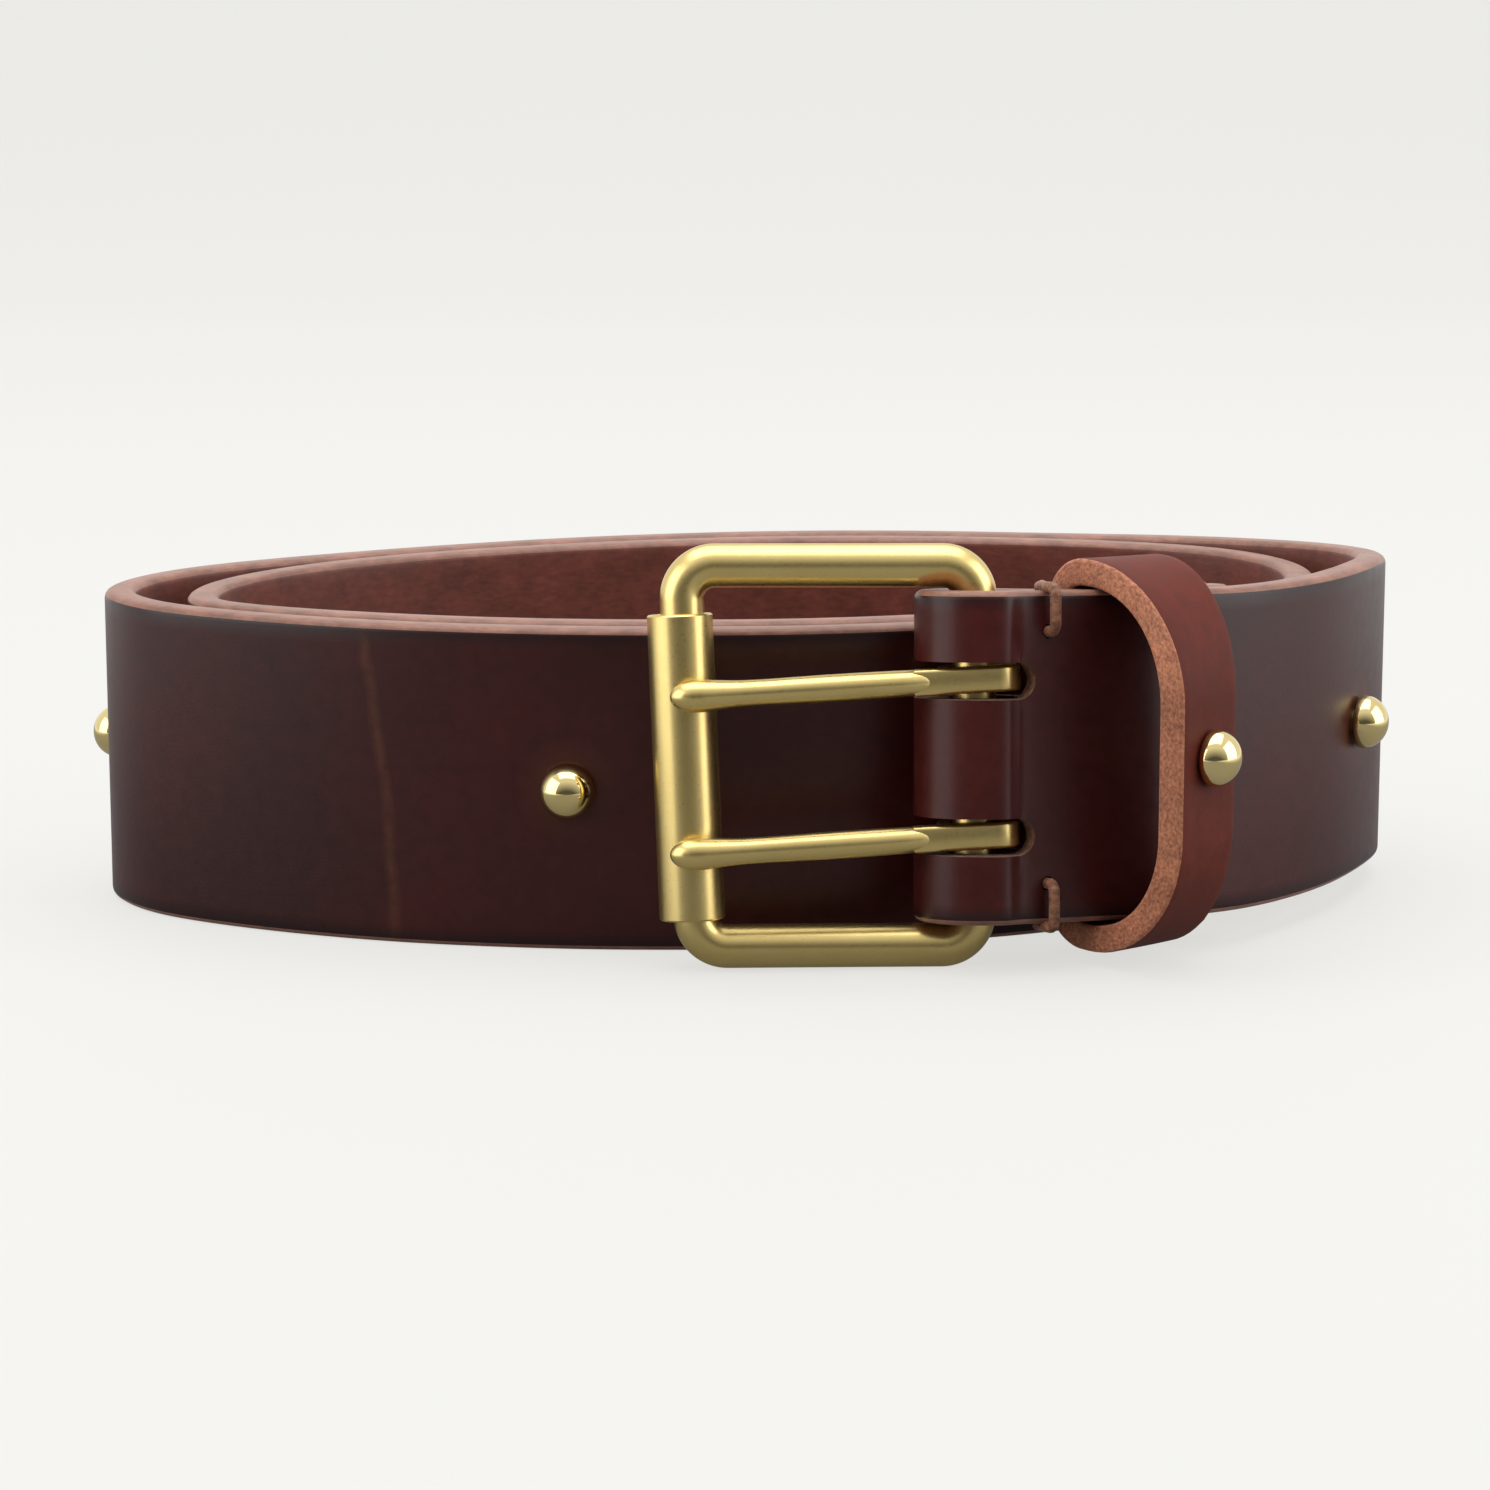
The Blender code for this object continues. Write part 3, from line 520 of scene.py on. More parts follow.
# %% Brass materials
def brass(name, base, rough, dusting):
    material, tree, shader = new_material(name)
    spot = object_place(tree)
    shader.inputs["Metallic"].default_value = 1
    tarnish = noise(tree, spot, 130, 5, 0.6)
    dust = noise(tree, spot, 2600, 2, 0.5)
    duller = tuple(c * f for c, f in zip(base, TARNISH))
    tone = mix(tree, ramp(tree, tarnish, [(0.3, grey(0)), (0.75, grey(1))]), base, duller)
    link(tree, tone, shader.inputs["Base Color"])
    gloss = math_node(tree, "MULTIPLY_ADD", dust, 0.16 * dusting, rough)
    link(tree, gloss, shader.inputs["Roughness"])
    link(tree, bump(tree, dust, 0.04 * dusting, 0.00005), shader.inputs["Normal"])
    return material


TARNISH = (0.93, 0.91, 0.84, 1)
satin = brass("brass_satin", (0.74, 0.575, 0.235, 1), 0.24, 0.7)
polished = brass("brass_polished", (0.83, 0.68, 0.33, 1), 0.06, 0.15)
for number in range(1, 7):
    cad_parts[f"screw_{number}"].data.materials[0] = satin
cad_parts["keeper_screw"].data.materials[0] = satin
print("brass materials", satin.name, polished.name)


# %% [markdown]
# ## The strap
# A maker cuts the outline, rounds the edges, punches the slots and holes, and only then bends
# the leather. The same order is kept here: a plate is extruded, bevelled and carved with a
# Boolean. Cuts across and along it then give it enough points to bend smoothly.

# %% Shape helpers
def add_piece(name, shape, materials, body, stands_for, place=Matrix(), angle=35):
    """Make a shape an object that rides on a body and stands for one node of the frame."""
    bmesh.ops.recalc_face_normals(shape, faces=shape.faces)
    mesh = bpy.data.meshes.new(name)
    shape.to_mesh(mesh)
    shape.free()
    mesh.transform(place)
    for material in materials:
        mesh.materials.append(material)
    mesh.shade_smooth()
    mesh.set_sharp_from_angle(angle=math.radians(angle))
    piece = bpy.data.objects.new(name, mesh)
    scene.collection.objects.link(piece)
    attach(piece, body)
    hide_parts(stands_for)
    print(name, "has", len(mesh.polygons), "faces")


def extruded(shape, face, way):
    grown = bmesh.ops.extrude_face_region(shape, geom=[face])["geom"]
    moved = [part for part in grown if isinstance(part, bmesh.types.BMVert)]
    bmesh.ops.translate(shape, verts=moved, vec=way)
    bmesh.ops.recalc_face_normals(shape, faces=shape.faces)


def plate(outline, depth):
    shape = bmesh.new()
    face = shape.faces.new([shape.verts.new((x, 0, z)) for x, z in outline])
    extruded(shape, face, (0, depth, 0))
    return shape


def round_rims(shape, axis, size, segments):
    """Bevel the rims of an extruded shape: the edges that don't run along the extrusion."""
    rims = [part for part in shape.edges
            if abs(part.verts[0].co[axis] - part.verts[1].co[axis]) < 0.1 * MM]
    bmesh.ops.bevel(shape, geom=rims, offset=size, offset_type="OFFSET", segments=segments,
                    profile=0.5, affect="EDGES", material=-1)


def cylinder(shape, radius, start, end, sides=24):
    run = end - start
    turn = run.to_track_quat("Z", "Y").to_matrix().to_4x4()
    place = Matrix.Translation((start + end) / 2) @ turn
    bmesh.ops.create_cone(shape, cap_ends=True, segments=sides, radius1=radius,
                          radius2=radius, depth=run.length, matrix=place)


def add_shape(target, source):
    mesh = bpy.data.meshes.new("part")
    source.to_mesh(mesh)
    source.free()
    target.from_mesh(mesh)
    bpy.data.meshes.remove(mesh)


def carved(shape, tool_shape):
    """Cut a tool out of a shape with the Boolean modifier and give back the result."""
    pair = []
    for source in (shape, tool_shape):
        mesh = bpy.data.meshes.new("carve")
        source.to_mesh(mesh)
        source.free()
        item = bpy.data.objects.new("carve", mesh)
        scene.collection.objects.link(item)
        pair.append(item)
    target, tool = pair
    step = target.modifiers.new("cut", "BOOLEAN")
    step.object = tool
    step.use_self = True
    bpy.context.view_layer.update()
    result = bmesh.new()
    result.from_object(target, bpy.context.evaluated_depsgraph_get())
    for item in pair:
        bpy.data.objects.remove(item, do_unlink=True)
    return result


# %% Outline and cutters of the strap
NOSE, NOSE_RADIUS, END_CORNER = 20 * MM, 8 * MM, 2 * MM
SHOULDER, SHOULDER_RISE = 14 * MM, 5 * MM
SLOT_FRONT, SLOT_REAR, SLOT_HALF = 21 * MM, 25.5 * MM, 2.5 * MM
LACE_INSET, LACE_HOLE = 5.4 * MM, 1.0 * MM
STUD_HOLE, PRONG_HOLE = 2.2 * MM, 2.5 * MM
FIRST_HOLE, HOLE_PITCH, HOLE_ROWS = 76 * MM, 25.4 * MM, 5
MIDDLE = WIDTH / 2


def strap_outline():
    """Square at the turned-back end, with a rounded tip at the other."""
    nose, shoulder = LENGTH - NOSE, LENGTH - NOSE - SHOULDER
    end = -FOLD_BACK
    outline = [(end + END_CORNER, 0), (shoulder, 0), (nose, SHOULDER_RISE)]
    outline += arc((LENGTH - NOSE_RADIUS, MIDDLE), NOSE_RADIUS, -60, 60, 20)
    outline += [(nose, WIDTH - SHOULDER_RISE), (shoulder, WIDTH), (end + END_CORNER, WIDTH)]
    outline += [(end, WIDTH - END_CORNER), (end, END_CORNER)]
    return outline


def punch(cut, run, height, radius, sides):
    centre = Vector((run, 0, height))
    front, back = Vector((0, -MM, 0)), Vector((0, THICK + MM, 0))
    cylinder(cut, radius, centre + front, centre + back, sides)


def strap_cutters():
    cut = bmesh.new()
    for side, offset in zip((1, -1), SLOTS):
        height = MIDDLE + offset
        ends = arc((SLOT_FRONT - SLOT_HALF, height), SLOT_HALF, -90, 90, 24)
        ends += arc((SLOT_HALF - SLOT_REAR, height), SLOT_HALF, 90, 270, 24)
        slot = plate(ends, THICK + 2 * MM)
        bmesh.ops.translate(slot, verts=slot.verts, vec=(0, -MM, 0))
        add_shape(cut, slot)
        for s in LACES:
            for run in (s, behind(s)):
                punch(cut, run, MIDDLE + side * (MIDDLE - LACE_INSET), LACE_HOLE, 16)
        for row in range(HOLE_ROWS):
            punch(cut, LENGTH - FIRST_HOLE - row * HOLE_PITCH, height, PRONG_HOLE, 32)
    for s in STUDS:
        punch(cut, s, MIDDLE, STUD_HOLE, 24)
    return cut


# %% Cut the strap
def cut_across(shape, marks, axis):
    way = Vector((1, 0, 0)) if axis == 0 else Vector((0, 0, 1))
    for mark in marks:
        bmesh.ops.bisect_plane(shape, geom=shape.verts[:] + shape.edges[:] + shape.faces[:],
                               dist=0.01 * MM, plane_co=way * mark, plane_no=way)


def strap_runs():
    """Close together where the route bends, and further apart where it is nearly straight."""
    heading = np.unwrap(np.arctan2(ROUTE_T[:, 1], ROUTE_T[:, 0]))
    marks, last_s, last_heading = [], -FOLD_BACK, heading[0]
    for s, angle in zip(ROUTE_S, heading):
        if abs(angle - last_heading) >= math.radians(2.2) or s - last_s >= 3 * MM:
            marks.append(s)
            last_s, last_heading = s, angle
    return [s for s in marks if -FOLD_BACK + 0.5 * MM < s < LENGTH - 0.5 * MM]


CUT_HEIGHTS = [h * MM for h in (3, 6, 10, 14, 17, 19.5, 22.2, 25, 27.5, 30.5, 34.5, 38.5, 41.5)]
blank = plate(strap_outline(), THICK)
round_rims(blank, 1, 1.15 * MM, 4)
strap = carved(blank, strap_cutters())
cut_across(strap, strap_runs(), 0)
cut_across(strap, CUT_HEIGHTS, 2)
bmesh.ops.remove_doubles(strap, verts=strap.verts, dist=0.01 * MM)
print("flat strap has", len(strap.verts), "corners")

# %% [markdown]
# While the strap is flat it is easy to tell its grain, flesh, edges and hole walls apart, so
# the faces get their materials now, and each point keeps its flat place as an attribute.
# Then every point is moved. The grain dips round two studs and steps in behind the bar, where
# the laces pull the two layers together, and the whole strap rolls up.

# %% Tell the faces apart
GRAIN, FLESH_SIDE, CUT_EDGE, HOLE_WALL = range(4)
flat_place = strap.verts.layers.float_vector.new("flat")
for vert in strap.verts:
    vert[flat_place] = vert.co


def strap_side(face):
    middle, across = face.calc_center_median(), abs(face.normal.y)
    from_rim = min(middle.z, WIDTH - middle.z, middle.x + FOLD_BACK, LENGTH - middle.x)
    if across > 0.95:
        return GRAIN if middle.y < THICK / 2 else FLESH_SIDE
    return HOLE_WALL if from_rim > MM and across < 0.2 else CUT_EDGE


for face in strap.faces:
    face.normal_update()
    face.material_index = strap_side(face)
print("grain faces", sum(face.material_index == GRAIN for face in strap.faces))


# %% Roll up the strap
DIPS = [(STUDS[4], 0.55 * MM, 5.2 * MM), (STUDS[0], 0.25 * MM, 4.5 * MM)]


def dip(s, height):
    """How far the grain side is pulled in round the studs."""
    total = 0
    for stud_run, deep, wide in DIPS:
        away = math.hypot(s - stud_run, height - MIDDLE)
        total += deep * math.exp(-(away / wide) ** 2)
    return total


def pinch(s):
    """How far the front face steps back behind the bar."""
    return 1.5 * MM * ease(s, 16 * MM, 19.5 * MM) * (1 - ease(s, 22 * MM, 46 * MM))


for vert in strap.verts:
    s, depth, height = vert.co
    on_grain = max(0, 1 - depth / THICK)
    depth += (dip(s, height) + pinch(s)) * on_grain
    vert.co = rolled(s, depth, height)
add_piece("strap_leather", strap, [grain, flesh, edge, hole], "strap", "strap", angle=40)


# %% [markdown]
# ## The buckle
# The frame is a brass wire bent into a rectangle and closed, and the laces are round cords. A
# curve with a bevel would do for both, but rings bridged one after another let a prong thin
# and swell on its way. Studs and roller are round about an axis, so they are spun.

# %% Lines, tubes and turned shapes
def rounded_loop(corners, radii, steps):
    line = []
    for i, (corner, radius) in enumerate(zip(corners, radii)):
        before = (corners[i - 1] - corner).normalized()
        after = (corners[(i + 1) % len(corners)] - corner).normalized()
        half_angle = before.angle(after) / 2
        centre = corner + (before + after).normalized() * radius / math.sin(half_angle)
        first = corner + before * radius / math.tan(half_angle) - centre
        last = corner + after * radius / math.tan(half_angle) - centre
        sweep = first.angle_signed(last)
        for step in range(steps + 1):
            line.append(centre + Matrix.Rotation(-sweep * step / steps, 2) @ first)
    return line


def walked(loop, spacing):
    """Points at an even spacing along a closed line."""
    line = []
    for one, two in zip(loop, loop[1:] + loop[:1]):
        steps = max(1, round((two - one).length / spacing))
        line += [one.lerp(two, k / steps) for k in range(steps)]
    return line


def bridged(shape, rings):
    """Join each ring of edges to the next one."""
    for one, two in zip(rings, rings[1:]):
        bmesh.ops.bridge_loops(shape, edges=one + two)


def tube(line, radii, sides, closed):
    """Rings of the given (across, over) radii along a line, bridged."""
    shape = bmesh.new()
    count = len(line)
    rings, side = [], Vector((0, 0, 1))
    for i, point in enumerate(line):
        ahead = line[(i + 1) % count] if closed or i < count - 1 else point
        back = line[i - 1] if closed or i > 0 else point
        run = (ahead - back).normalized()
        side = (side - run * side.dot(run)).normalized()
        across, over = side * radii[i][0], run.cross(side) * radii[i][1]
        place = Matrix.Translation(point) @ Matrix((across, over, run)).transposed().to_4x4()
        made = bmesh.ops.create_circle(shape, segments=sides, radius=1, matrix=place,
                                       cap_ends=not closed and i in (0, count - 1))
        rings.append(list({part for vert in made["verts"] for part in vert.link_edges}))
    bridged(shape, rings + rings[:1] if closed else rings)
    return shape


def turned(profile, sides):
    shape = bmesh.new()
    corners = [shape.verts.new((radius, 0, height)) for radius, height in profile]
    edges = [shape.edges.new(pair) for pair in zip(corners, corners[1:])]
    bmesh.ops.spin(shape, geom=corners + edges, axis=(0, 0, 1), cent=(0, 0, 0),
                   angle=math.tau, steps=sides, use_merge=True)
    bmesh.ops.remove_doubles(shape, verts=shape.verts, dist=0.01 * MM)
    return shape


# %% Frame
def buckle_place():
    centre = Vector((BAR.x, BAR.y, BAR_MIDDLE)) - ORIGIN
    lean = Matrix.Rotation(-LEAN, 4, "X")
    return Matrix.Translation(centre) @ lean @ Matrix.Rotation(YAW, 4, "Z")


reach = (FRAME_HEIGHT - WIRE) / 2
foot, top = Vector((WIRE - FOOT_WIDTH, -reach)), Vector((WIRE - TOP_WIDTH, reach))
frame_corners = [Vector((0, -reach)), Vector((0, reach)), top, foot]
frame_line = walked(rounded_loop(frame_corners, [CORNER] * 4, 20), 2 * MM)
frame_line = [Vector((p.x, 0, p.y)) for p in frame_line]
wire_radii = [(WIRE / 2, WIRE / 2)] * len(frame_line)
frame_wire = tube(frame_line, wire_radii, 48, closed=True)
add_piece("buckle_frame_wire", frame_wire, [satin], "frame", "buckle_frame", buckle_place())


# %% [markdown]
# The roller is a strip of sheet brass, rolled round the outer bar until its ends nearly meet. Its
# section is spun through a little less than a full turn, which leaves that seam open. The seam
# faces the strap.

# %% Roller
ROLLER_RADIUS, ROLLER_WALL, ROLLER_HALF, ROLLER_LIP = 4.4 * MM, 0.8 * MM, 20.45 * MM, 0.22 * MM
ROLLER_SHIFT = Vector((-0.3 * MM, -1.4 * MM))
SEAM_TURN, ROLLER_SWEEP = math.radians(60), math.radians(356.5)


def roller_section():
    outer, inner = ROLLER_RADIUS, ROLLER_RADIUS - ROLLER_WALL
    half, lip = ROLLER_HALF, ROLLER_LIP
    section = [(inner, -half + lip), (inner + lip, -half), (outer - lip, -half)]
    section += [(outer, -half + lip)]
    section += [(outer, half * k / 8) for k in range(-7, 8)]
    section += [(outer, half - lip), (outer - lip, half), (inner + lip, half)]
    return section + [(inner, half - lip)]


slant = math.atan2(top.x - foot.x, top.y - foot.y)
roller_middle = (foot + top) / 2 + ROLLER_SHIFT
roller_place = buckle_place() @ Matrix.Translation((roller_middle.x, 0, roller_middle.y))
roller_place = roller_place @ Matrix.Rotation(slant, 4, "Y") @ Matrix.Rotation(SEAM_TURN, 4, "Z")
roller = bmesh.new()
face = roller.faces.new([roller.verts.new((r, 0, z)) for r, z in roller_section()])
bmesh.ops.spin(roller, geom=[face], axis=(0, 0, 1), cent=(0, 0, 0), angle=ROLLER_SWEEP, steps=72)
add_piece("roller_tube", roller, [satin], "roller", "roller", roller_place)


# %% [markdown]
# Each prong has a flat, squared base bored for the bar. A round body leaves it in front, thins
# to a waist and ends in a blunt bullet that rests on the roller. The base is a plate with soft
# rims and a bore cut through it, and the body is a tube whose rings change size on the way.

# %% Prongs
def prong_strip():
    size, corner = 5.8 * MM, 3.2 * MM
    start, low = -size - 3 * MM, -size + 1.1 * MM
    outline = [(start, -size), (size - corner, -size)]
    outline += arc((size - corner, corner - size), corner, -84, -6, 12)
    outline += arc((size - corner, size - corner), corner, 0, 90, 12)
    outline += arc((low + corner, size - corner), corner, 90, 180, 12)
    outline += [(low, -2.2 * MM), (start, -3 * MM)]
    half = 1.75 * MM
    shape = bmesh.new()
    face = shape.faces.new([shape.verts.new((x, y, -half)) for x, y in outline])
    extruded(shape, face, (0, 0, 2 * half))
    round_rims(shape, 2, 0.45 * MM, 3)
    bore = bmesh.new()
    cylinder(bore, WIRE / 2 + FIT, Vector((0, 0, -4 * MM)), Vector((0, 0, 4 * MM)), 48)
    return carved(shape, bore)


TIP_RADIUS, PRONG_DROOP = 2.2 * MM, math.radians(3)
SEAT = (ROLLER_RADIUS + FIT + TIP_RADIUS) / MM
PRONG_STAGES = np.array([
    (-6.2, 4.4, 1.2, 1.2), (-7.2, 4.5, 1.72, 1.45), (-9.5, 4.75, 1.78, 1.7),
    (-12.1, 5, 1.82, 1.8), (-16, 5.45, 1.86, 1.85), (-20.5, 5.9, 1.86, 1.85),
    (-25, 6.25, 1.8, 1.78), (-28.8, 6.5, 1.74, 1.72), (-32, 6.68, 1.78, 1.78),
    (-34.8, 6.8, 1.98, 1.98), (-37.1, SEAT, 2.2, 2.2), (-38.6, SEAT, 2.14, 2.14),
    (-39.7, SEAT, 1.84, 1.84), (-40.6, SEAT, 1.3, 1.3), (-41.1, SEAT, 0.7, 0.7),
    (-41.25, SEAT, 0.2, 0.2)]) * MM


def prong_round():
    """The round body, from (run, front, across, over) stages made finer and eased."""
    marks = np.arange(0, len(PRONG_STAGES) - 0.75, 0.25)
    knots = np.arange(len(PRONG_STAGES))
    fine = np.column_stack([np.interp(marks, knots, column) for column in PRONG_STAGES.T])
    for _ in range(2):
        fine[1:-1] = (fine[:-2] + 2 * fine[1:-1] + fine[2:]) / 4
    line = [Vector((run, -front, 0)) for run, front, _, _ in fine]
    return tube(line, fine[:, 2:], 32, closed=False)


for name, height in zip(("prong_upper", "prong_lower"), PRONGS):
    prong = prong_strip()
    add_shape(prong, prong_round())
    place = buckle_place() @ Matrix.Translation((0, 0, height))
    place = place @ Matrix.Rotation(-PRONG_DROOP, 4, "Y")
    add_piece(name + "_brass", prong, [satin], name, name, place, angle=50)


# %% [markdown]
# ## The keeper
# A band of leather closed into a loop, square behind the strap and round in front. The front
# is turned towards the viewer more than the back, so the loop twists, and a plain extrusion
# wouldn't do. A rounded section is set round the loop as rings, and the rings are bridged.

# %% Keeper
KEEPER_RUN, KEEPER_FRONT = 37 * MM, Vector((59.7, -14.2)) * MM
KEEPER_YAW, KEEPER_LEAN = math.radians(56), math.radians(1)
KEEPER_WIDE, KEEPER_THICK, KEEPER_CLEAR = 14.8 * MM, 3.7 * MM, 0.6 * MM
KEEPER_LOW, KEEPER_HIGH, KEEPER_ROUND = 2.2 * MM, 55.1 * MM, 0.55 * MM
BACK_CORNER, FRONT_CORNER = 6 * MM, 16 * MM


def keeper_middle(across, out, height):
    depth = 2 * THICK + FIT + KEEPER_CLEAR + KEEPER_THICK / 2
    back = rolled(KEEPER_RUN + across, depth, height - lift(KEEPER_RUN)) + ORIGIN
    tilt = (height - BAR_MIDDLE) * math.tan(KEEPER_LEAN)
    front = Vector((KEEPER_FRONT.x + across * math.cos(KEEPER_YAW),
                    KEEPER_FRONT.y + across * math.sin(KEEPER_YAW) + tilt, height))
    return back.lerp(front, out) - ORIGIN


def keeper_profile():
    low, high = KEEPER_LOW + KEEPER_THICK / 2, KEEPER_HIGH - KEEPER_THICK / 2
    length = (keeper_middle(0, 1, BAR_MIDDLE) - keeper_middle(0, 0, BAR_MIDDLE)).length
    corners = [Vector((0, low)), Vector((0, high)), Vector((length, high)), Vector((length, low))]
    loop = rounded_loop(corners, [BACK_CORNER] * 2 + [FRONT_CORNER] * 2, 18)
    return [Vector((p.x / length, p.y)) for p in walked(loop, 1.5 * MM)], length


def keeper_section():
    """A rectangle with rounded corners, as (across, out) points."""
    cross = []
    for x, y, start in ((1, 1, 0), (-1, 1, 90), (-1, -1, 180), (1, -1, 270)):
        centre = x * (KEEPER_WIDE / 2 - KEEPER_ROUND), y * (KEEPER_THICK / 2 - KEEPER_ROUND)
        cross += arc(centre, KEEPER_ROUND, start, start + 90, 4)
    return walked([Vector(point) for point in cross], 1.3 * MM)


def keeper_point(profile, i, across, out):
    """A point of the section at one place of the loop, out from the middle of the leather."""
    point, back, ahead = profile[i], profile[i - 1], profile[(i + 1) % len(profile)]
    run = keeper_middle(across, *ahead) - keeper_middle(across, *back)
    wide = keeper_middle(across + MM, *point) - keeper_middle(across - MM, *point)
    return keeper_middle(across, *point) + wide.cross(run).normalized() * out


# %% Loft the keeper
profile, keeper_length = keeper_profile()
keeper = bmesh.new()
keeper_flat = keeper.verts.layers.float_vector.new("flat")
rings, travelled = [], 0
for i, point in enumerate(profile):
    ring = []
    for across, out in keeper_section():
        ring.append(keeper.verts.new(keeper_point(profile, i, across, out)))
        ring[-1][keeper_flat] = (travelled, out, across)
    rings.append([keeper.edges.new(pair) for pair in zip(ring, ring[1:] + ring[:1])])
    step = profile[(i + 1) % len(profile)] - point
    travelled += math.hypot(step.x * keeper_length, step.y)
bridged(keeper, rings + rings[:1])
raw_from = KEEPER_WIDE / 2 - 0.8 * KEEPER_ROUND
for face in keeper.faces:
    face.material_index = int(min(abs(vert[keeper_flat].z) for vert in face.verts) > raw_from)
add_piece("keeper_loop", keeper, [keeper_face, keeper_cut], "keeper", "keeper", angle=60)


# %% [markdown]
# ## Studs
# Each stud is a solid brass dome with a small collar and a post, and a screw holds it from
# behind. Its half profile is drawn and spun round. Six sit on the strap and one on the keeper.

# %% Studs
STUD_RADIUS, DOME_RISE, RIM_HEIGHT = 3.8 * MM, 3.55 * MM, 0.75 * MM
STUD_FOOT = [(r * MM, h * MM) for r, h in
             ((0, -0.5), (1.9, -0.5), (1.9, 0.15), (3.35, 0.15), (3.62, 0.3), (3.76, 0.52))]
KEEPER_STUD = 30 * MM


def stud_head():
    dome = [(STUD_RADIUS * math.cos(a), RIM_HEIGHT + DOME_RISE * math.sin(a))
            for a in np.linspace(0, math.pi / 2, 18)]
    return turned(STUD_FOOT + dome, 64)


for number, s in enumerate(STUDS, 1):
    name = f"stud_{number}"
    place = strap_axes(s, 0, MIDDLE) @ Matrix.Rotation(math.radians(90), 4, "X")
    add_piece(name + "_head", stud_head(), [polished], "strap", name, place, angle=50)
here = keeper_middle(0, 1, KEEPER_STUD)
along = keeper_middle(MM, 1, KEEPER_STUD) - keeper_middle(-MM, 1, KEEPER_STUD)
along.normalize()
up = (keeper_middle(0, 1, KEEPER_STUD + MM) - here).normalized()
out = along.cross(up).normalized()
place = Matrix.Translation(here + out * KEEPER_THICK / 2)
place = place @ Matrix((along, up, out)).transposed().to_4x4()
add_piece("keeper_stud_head", stud_head(), [polished], "keeper", "keeper_stud", place, angle=50)


# %% [markdown]
# ## Laces
# A thin lace goes through both layers near each rim and over the rim, and holds the fold shut.
# The two layers aren't parallel, so the loop is drawn on the flat strap and each of its points
# is then carried to the front or the back layer.

# %% Laces
def through_fold(s, depth, height):
    if depth <= THICK:
        return rolled(s, depth, height)
    return rolled(behind(s), fold_depth(s) - depth, height)


LACE_RADIUS, LACE_CLEAR, LACE_TURN = 0.75 * MM, 0.45 * MM, 1.2 * MM


def lace_line(s, side):
    rim = MIDDLE + side * MIDDLE
    near, far = -LACE_CLEAR, fold_depth(s) + LACE_CLEAR
    inner, over = rim - side * LACE_INSET, rim + side * LACE_CLEAR
    corners = [Vector(point) for point in ((near, inner), (far, inner), (far, over), (near, over))]
    turn = rounded_loop(corners, [LACE_TURN] * 4, 6)
    turn.insert(21, Vector((THICK, over)))
    turn.insert(7, Vector((THICK, inner)))
    return [through_fold(s, point.x, point.y) for point in turn]


for label, s in zip(("front", "rear"), LACES):
    for side, end in ((1, "top"), (-1, "bottom")):
        line = lace_line(s, side)
        lace = tube(line, [(LACE_RADIUS, LACE_RADIUS)] * len(line), 16, closed=True)
        layer = lace.verts.layers.float_vector.new("flat")
        for vert in lace.verts:
            vert[layer] = vert.co
        name = f"lace_{label}_{end}"
        add_piece(name + "_stitch", lace, [lace_skin], "strap", name, angle=60)


# %% [markdown]
# ## Floor, light and camera
# The belt lies on a pale sheet of paper that sweeps up behind it. A plain white floor would
# throw so much light back that the dark leather turned grey. So the paper shines a little for
# the camera, and for everything else only its back and sides are bright.

# %% Paper material
PAPER_SEEN = 0.785
PAPER_GREY, PAPER_LIGHT = (0.13, 0.13, 0.129, 1), (0.86, 0.853, 0.823, 1)


def paper_material():
    material, tree, shader = new_material("paper_white")
    shader.inputs["Base Color"].default_value = PAPER_GREY
    shader.inputs["Roughness"].default_value = 0.8
    shader.inputs["Specular IOR Level"].default_value = 0.1
    shader.inputs["Emission Color"].default_value = PAPER_LIGHT
    seen = tree.nodes.new("ShaderNodeLightPath").outputs["Is Camera Ray"]
    parts = tree.nodes.new("ShaderNodeSeparateXYZ")
    link(tree, object_place(tree), parts.inputs[0])
    back = ramp(tree, parts.outputs[1], [(0.15, grey(0.15)), (0.7, grey(1.0))])
    sides = math_node(tree, "ABSOLUTE", parts.outputs[0])
    sides = ramp(tree, sides, [(0.14, grey(0.0)), (0.4, grey(1.0))])
    glow = mix(tree, 1.0, back, sides, "LIGHTEN")
    strength = mix(tree, seen, glow, grey(PAPER_SEEN))
    link(tree, strength, shader.inputs["Emission Strength"])
    return material


# %% Paper sweep
FRONT_END, BEND_START, BEND_RADIUS, PAPER_HALF, PAPER_TOP = -1.5, 0.9, 0.8, 3, 3.5
sweep = [(FRONT_END, 0), (BEND_START, 0)]
sweep += [(BEND_START + BEND_RADIUS * math.sin(a), BEND_RADIUS - BEND_RADIUS * math.cos(a))
          for a in np.linspace(0.05, math.pi / 2, 16)]
sweep += [(BEND_START + BEND_RADIUS, PAPER_TOP)]
paper = bmesh.new()
y, z = sweep[0]
edges = [paper.edges.new([paper.verts.new((x, y, z)) for x in (-PAPER_HALF, PAPER_HALF)])]
for (y, z), (next_y, next_z) in zip(sweep, sweep[1:]):
    grown = bmesh.ops.extrude_edge_only(paper, edges=edges)["geom"]
    corners = [part for part in grown if isinstance(part, bmesh.types.BMVert)]
    bmesh.ops.translate(paper, verts=corners, vec=(0, next_y - y, next_z - z))
    edges = [part for part in grown if isinstance(part, bmesh.types.BMEdge)
             and part.verts[0] in corners and part.verts[1] in corners]
mesh = bpy.data.meshes.new("paper")
paper.to_mesh(mesh)
paper.free()
mesh.materials.append(paper_material())
mesh.shade_smooth()
paper_sweep = bpy.data.objects.new("paper", mesh)
scene.collection.objects.link(paper_sweep)
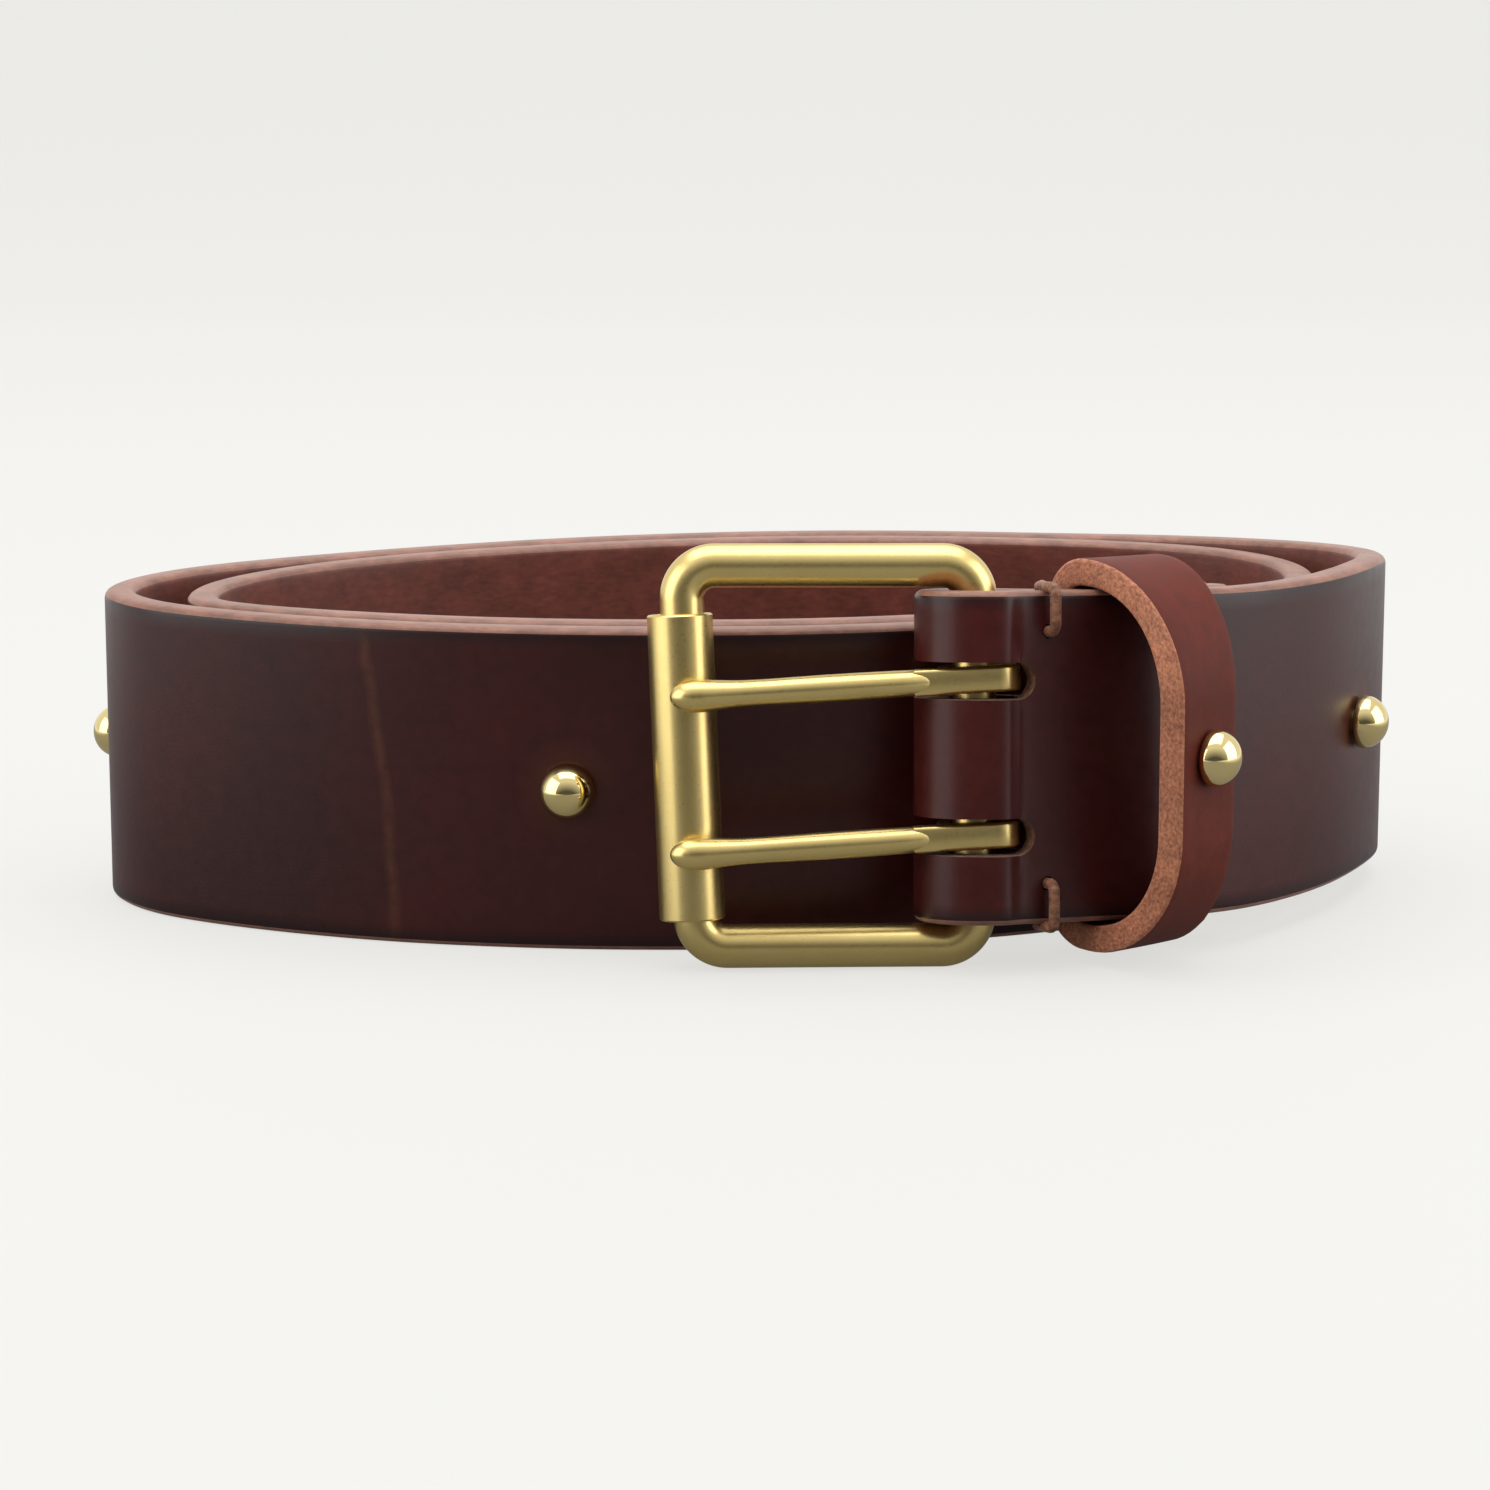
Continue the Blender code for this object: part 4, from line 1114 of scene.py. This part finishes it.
print("paper has", len(mesh.polygons), "faces")


# %% [markdown]
# The light is a white tent, darker behind the camera, so that the front of the leather stays
# dark and its ends catch a sheen. Two windows at the sides and one above give the brass its
# bright bands. They are area lights, because their edges show in the domes of the studs.

# %% Lights
def soft_light(name, place, target, width, height, power):
    light = bpy.data.lights.new(name, "AREA")
    light.shape = "RECTANGLE"
    light.size, light.size_y = width, height
    light.energy = power
    item = bpy.data.objects.new(name, light)
    item.location = place
    aim = Vector(target) - Vector(place)
    item.rotation_euler = aim.to_track_quat("-Z", "Y").to_euler()
    scene.collection.objects.link(item)
    print(name, "gives", power, "watts")


soft_light("left_window", (-0.85, -0.35, 0.35), (0, 0, 0.02), 0.9, 0.9, 4.6)
soft_light("right_window", (0.88, -0.2, 0.35), (0, 0, 0.02), 0.8, 0.9, 5)
soft_light("top_window", (0, 0.1, 1.1), (0, 0, 0), 1.2, 1.2, 10)

# %% Tent
world = bpy.data.worlds.new("tent")
scene.world = world
world.use_nodes = True
tree = world.node_tree
background = tree.nodes["Background"]
direction = tree.nodes.new("ShaderNodeTexCoord").outputs["Generated"]
parts = tree.nodes.new("ShaderNodeSeparateXYZ")
link(tree, direction, parts.inputs[0])
lean = math_node(tree, "MULTIPLY_ADD", parts.outputs[1], 0.5, 0.5)
brightness = math_node(tree, "MULTIPLY_ADD", parts.outputs[2], 0.3, lean)
glow = ramp(tree, brightness, [(0.08, grey(0.10)), (0.42, grey(0.9)), (1.0, grey(1.0))])
link(tree, glow, background.inputs["Color"])
background.inputs["Strength"].default_value = 1.0

# %% [markdown]
# The camera stands a little above the belt, about half a metre away, and looks slightly down.

# %% Camera
CAMERA_PLACE, CAMERA_PITCH = Vector((0, -570, 136.9)) * MM, math.radians(10.74)
camera = bpy.data.cameras.new("camera")
camera.sensor_width = 36
camera.lens = 103.651
camera.clip_end = 20
eye = bpy.data.objects.new("camera", camera)
eye.location = CAMERA_PLACE - ORIGIN
eye.rotation_euler = (math.radians(90) - CAMERA_PITCH, 0, 0)
scene.collection.objects.link(eye)
scene.camera = eye
scene.view_settings.view_transform = "Standard"
print("camera lens", round(camera.lens, 1))
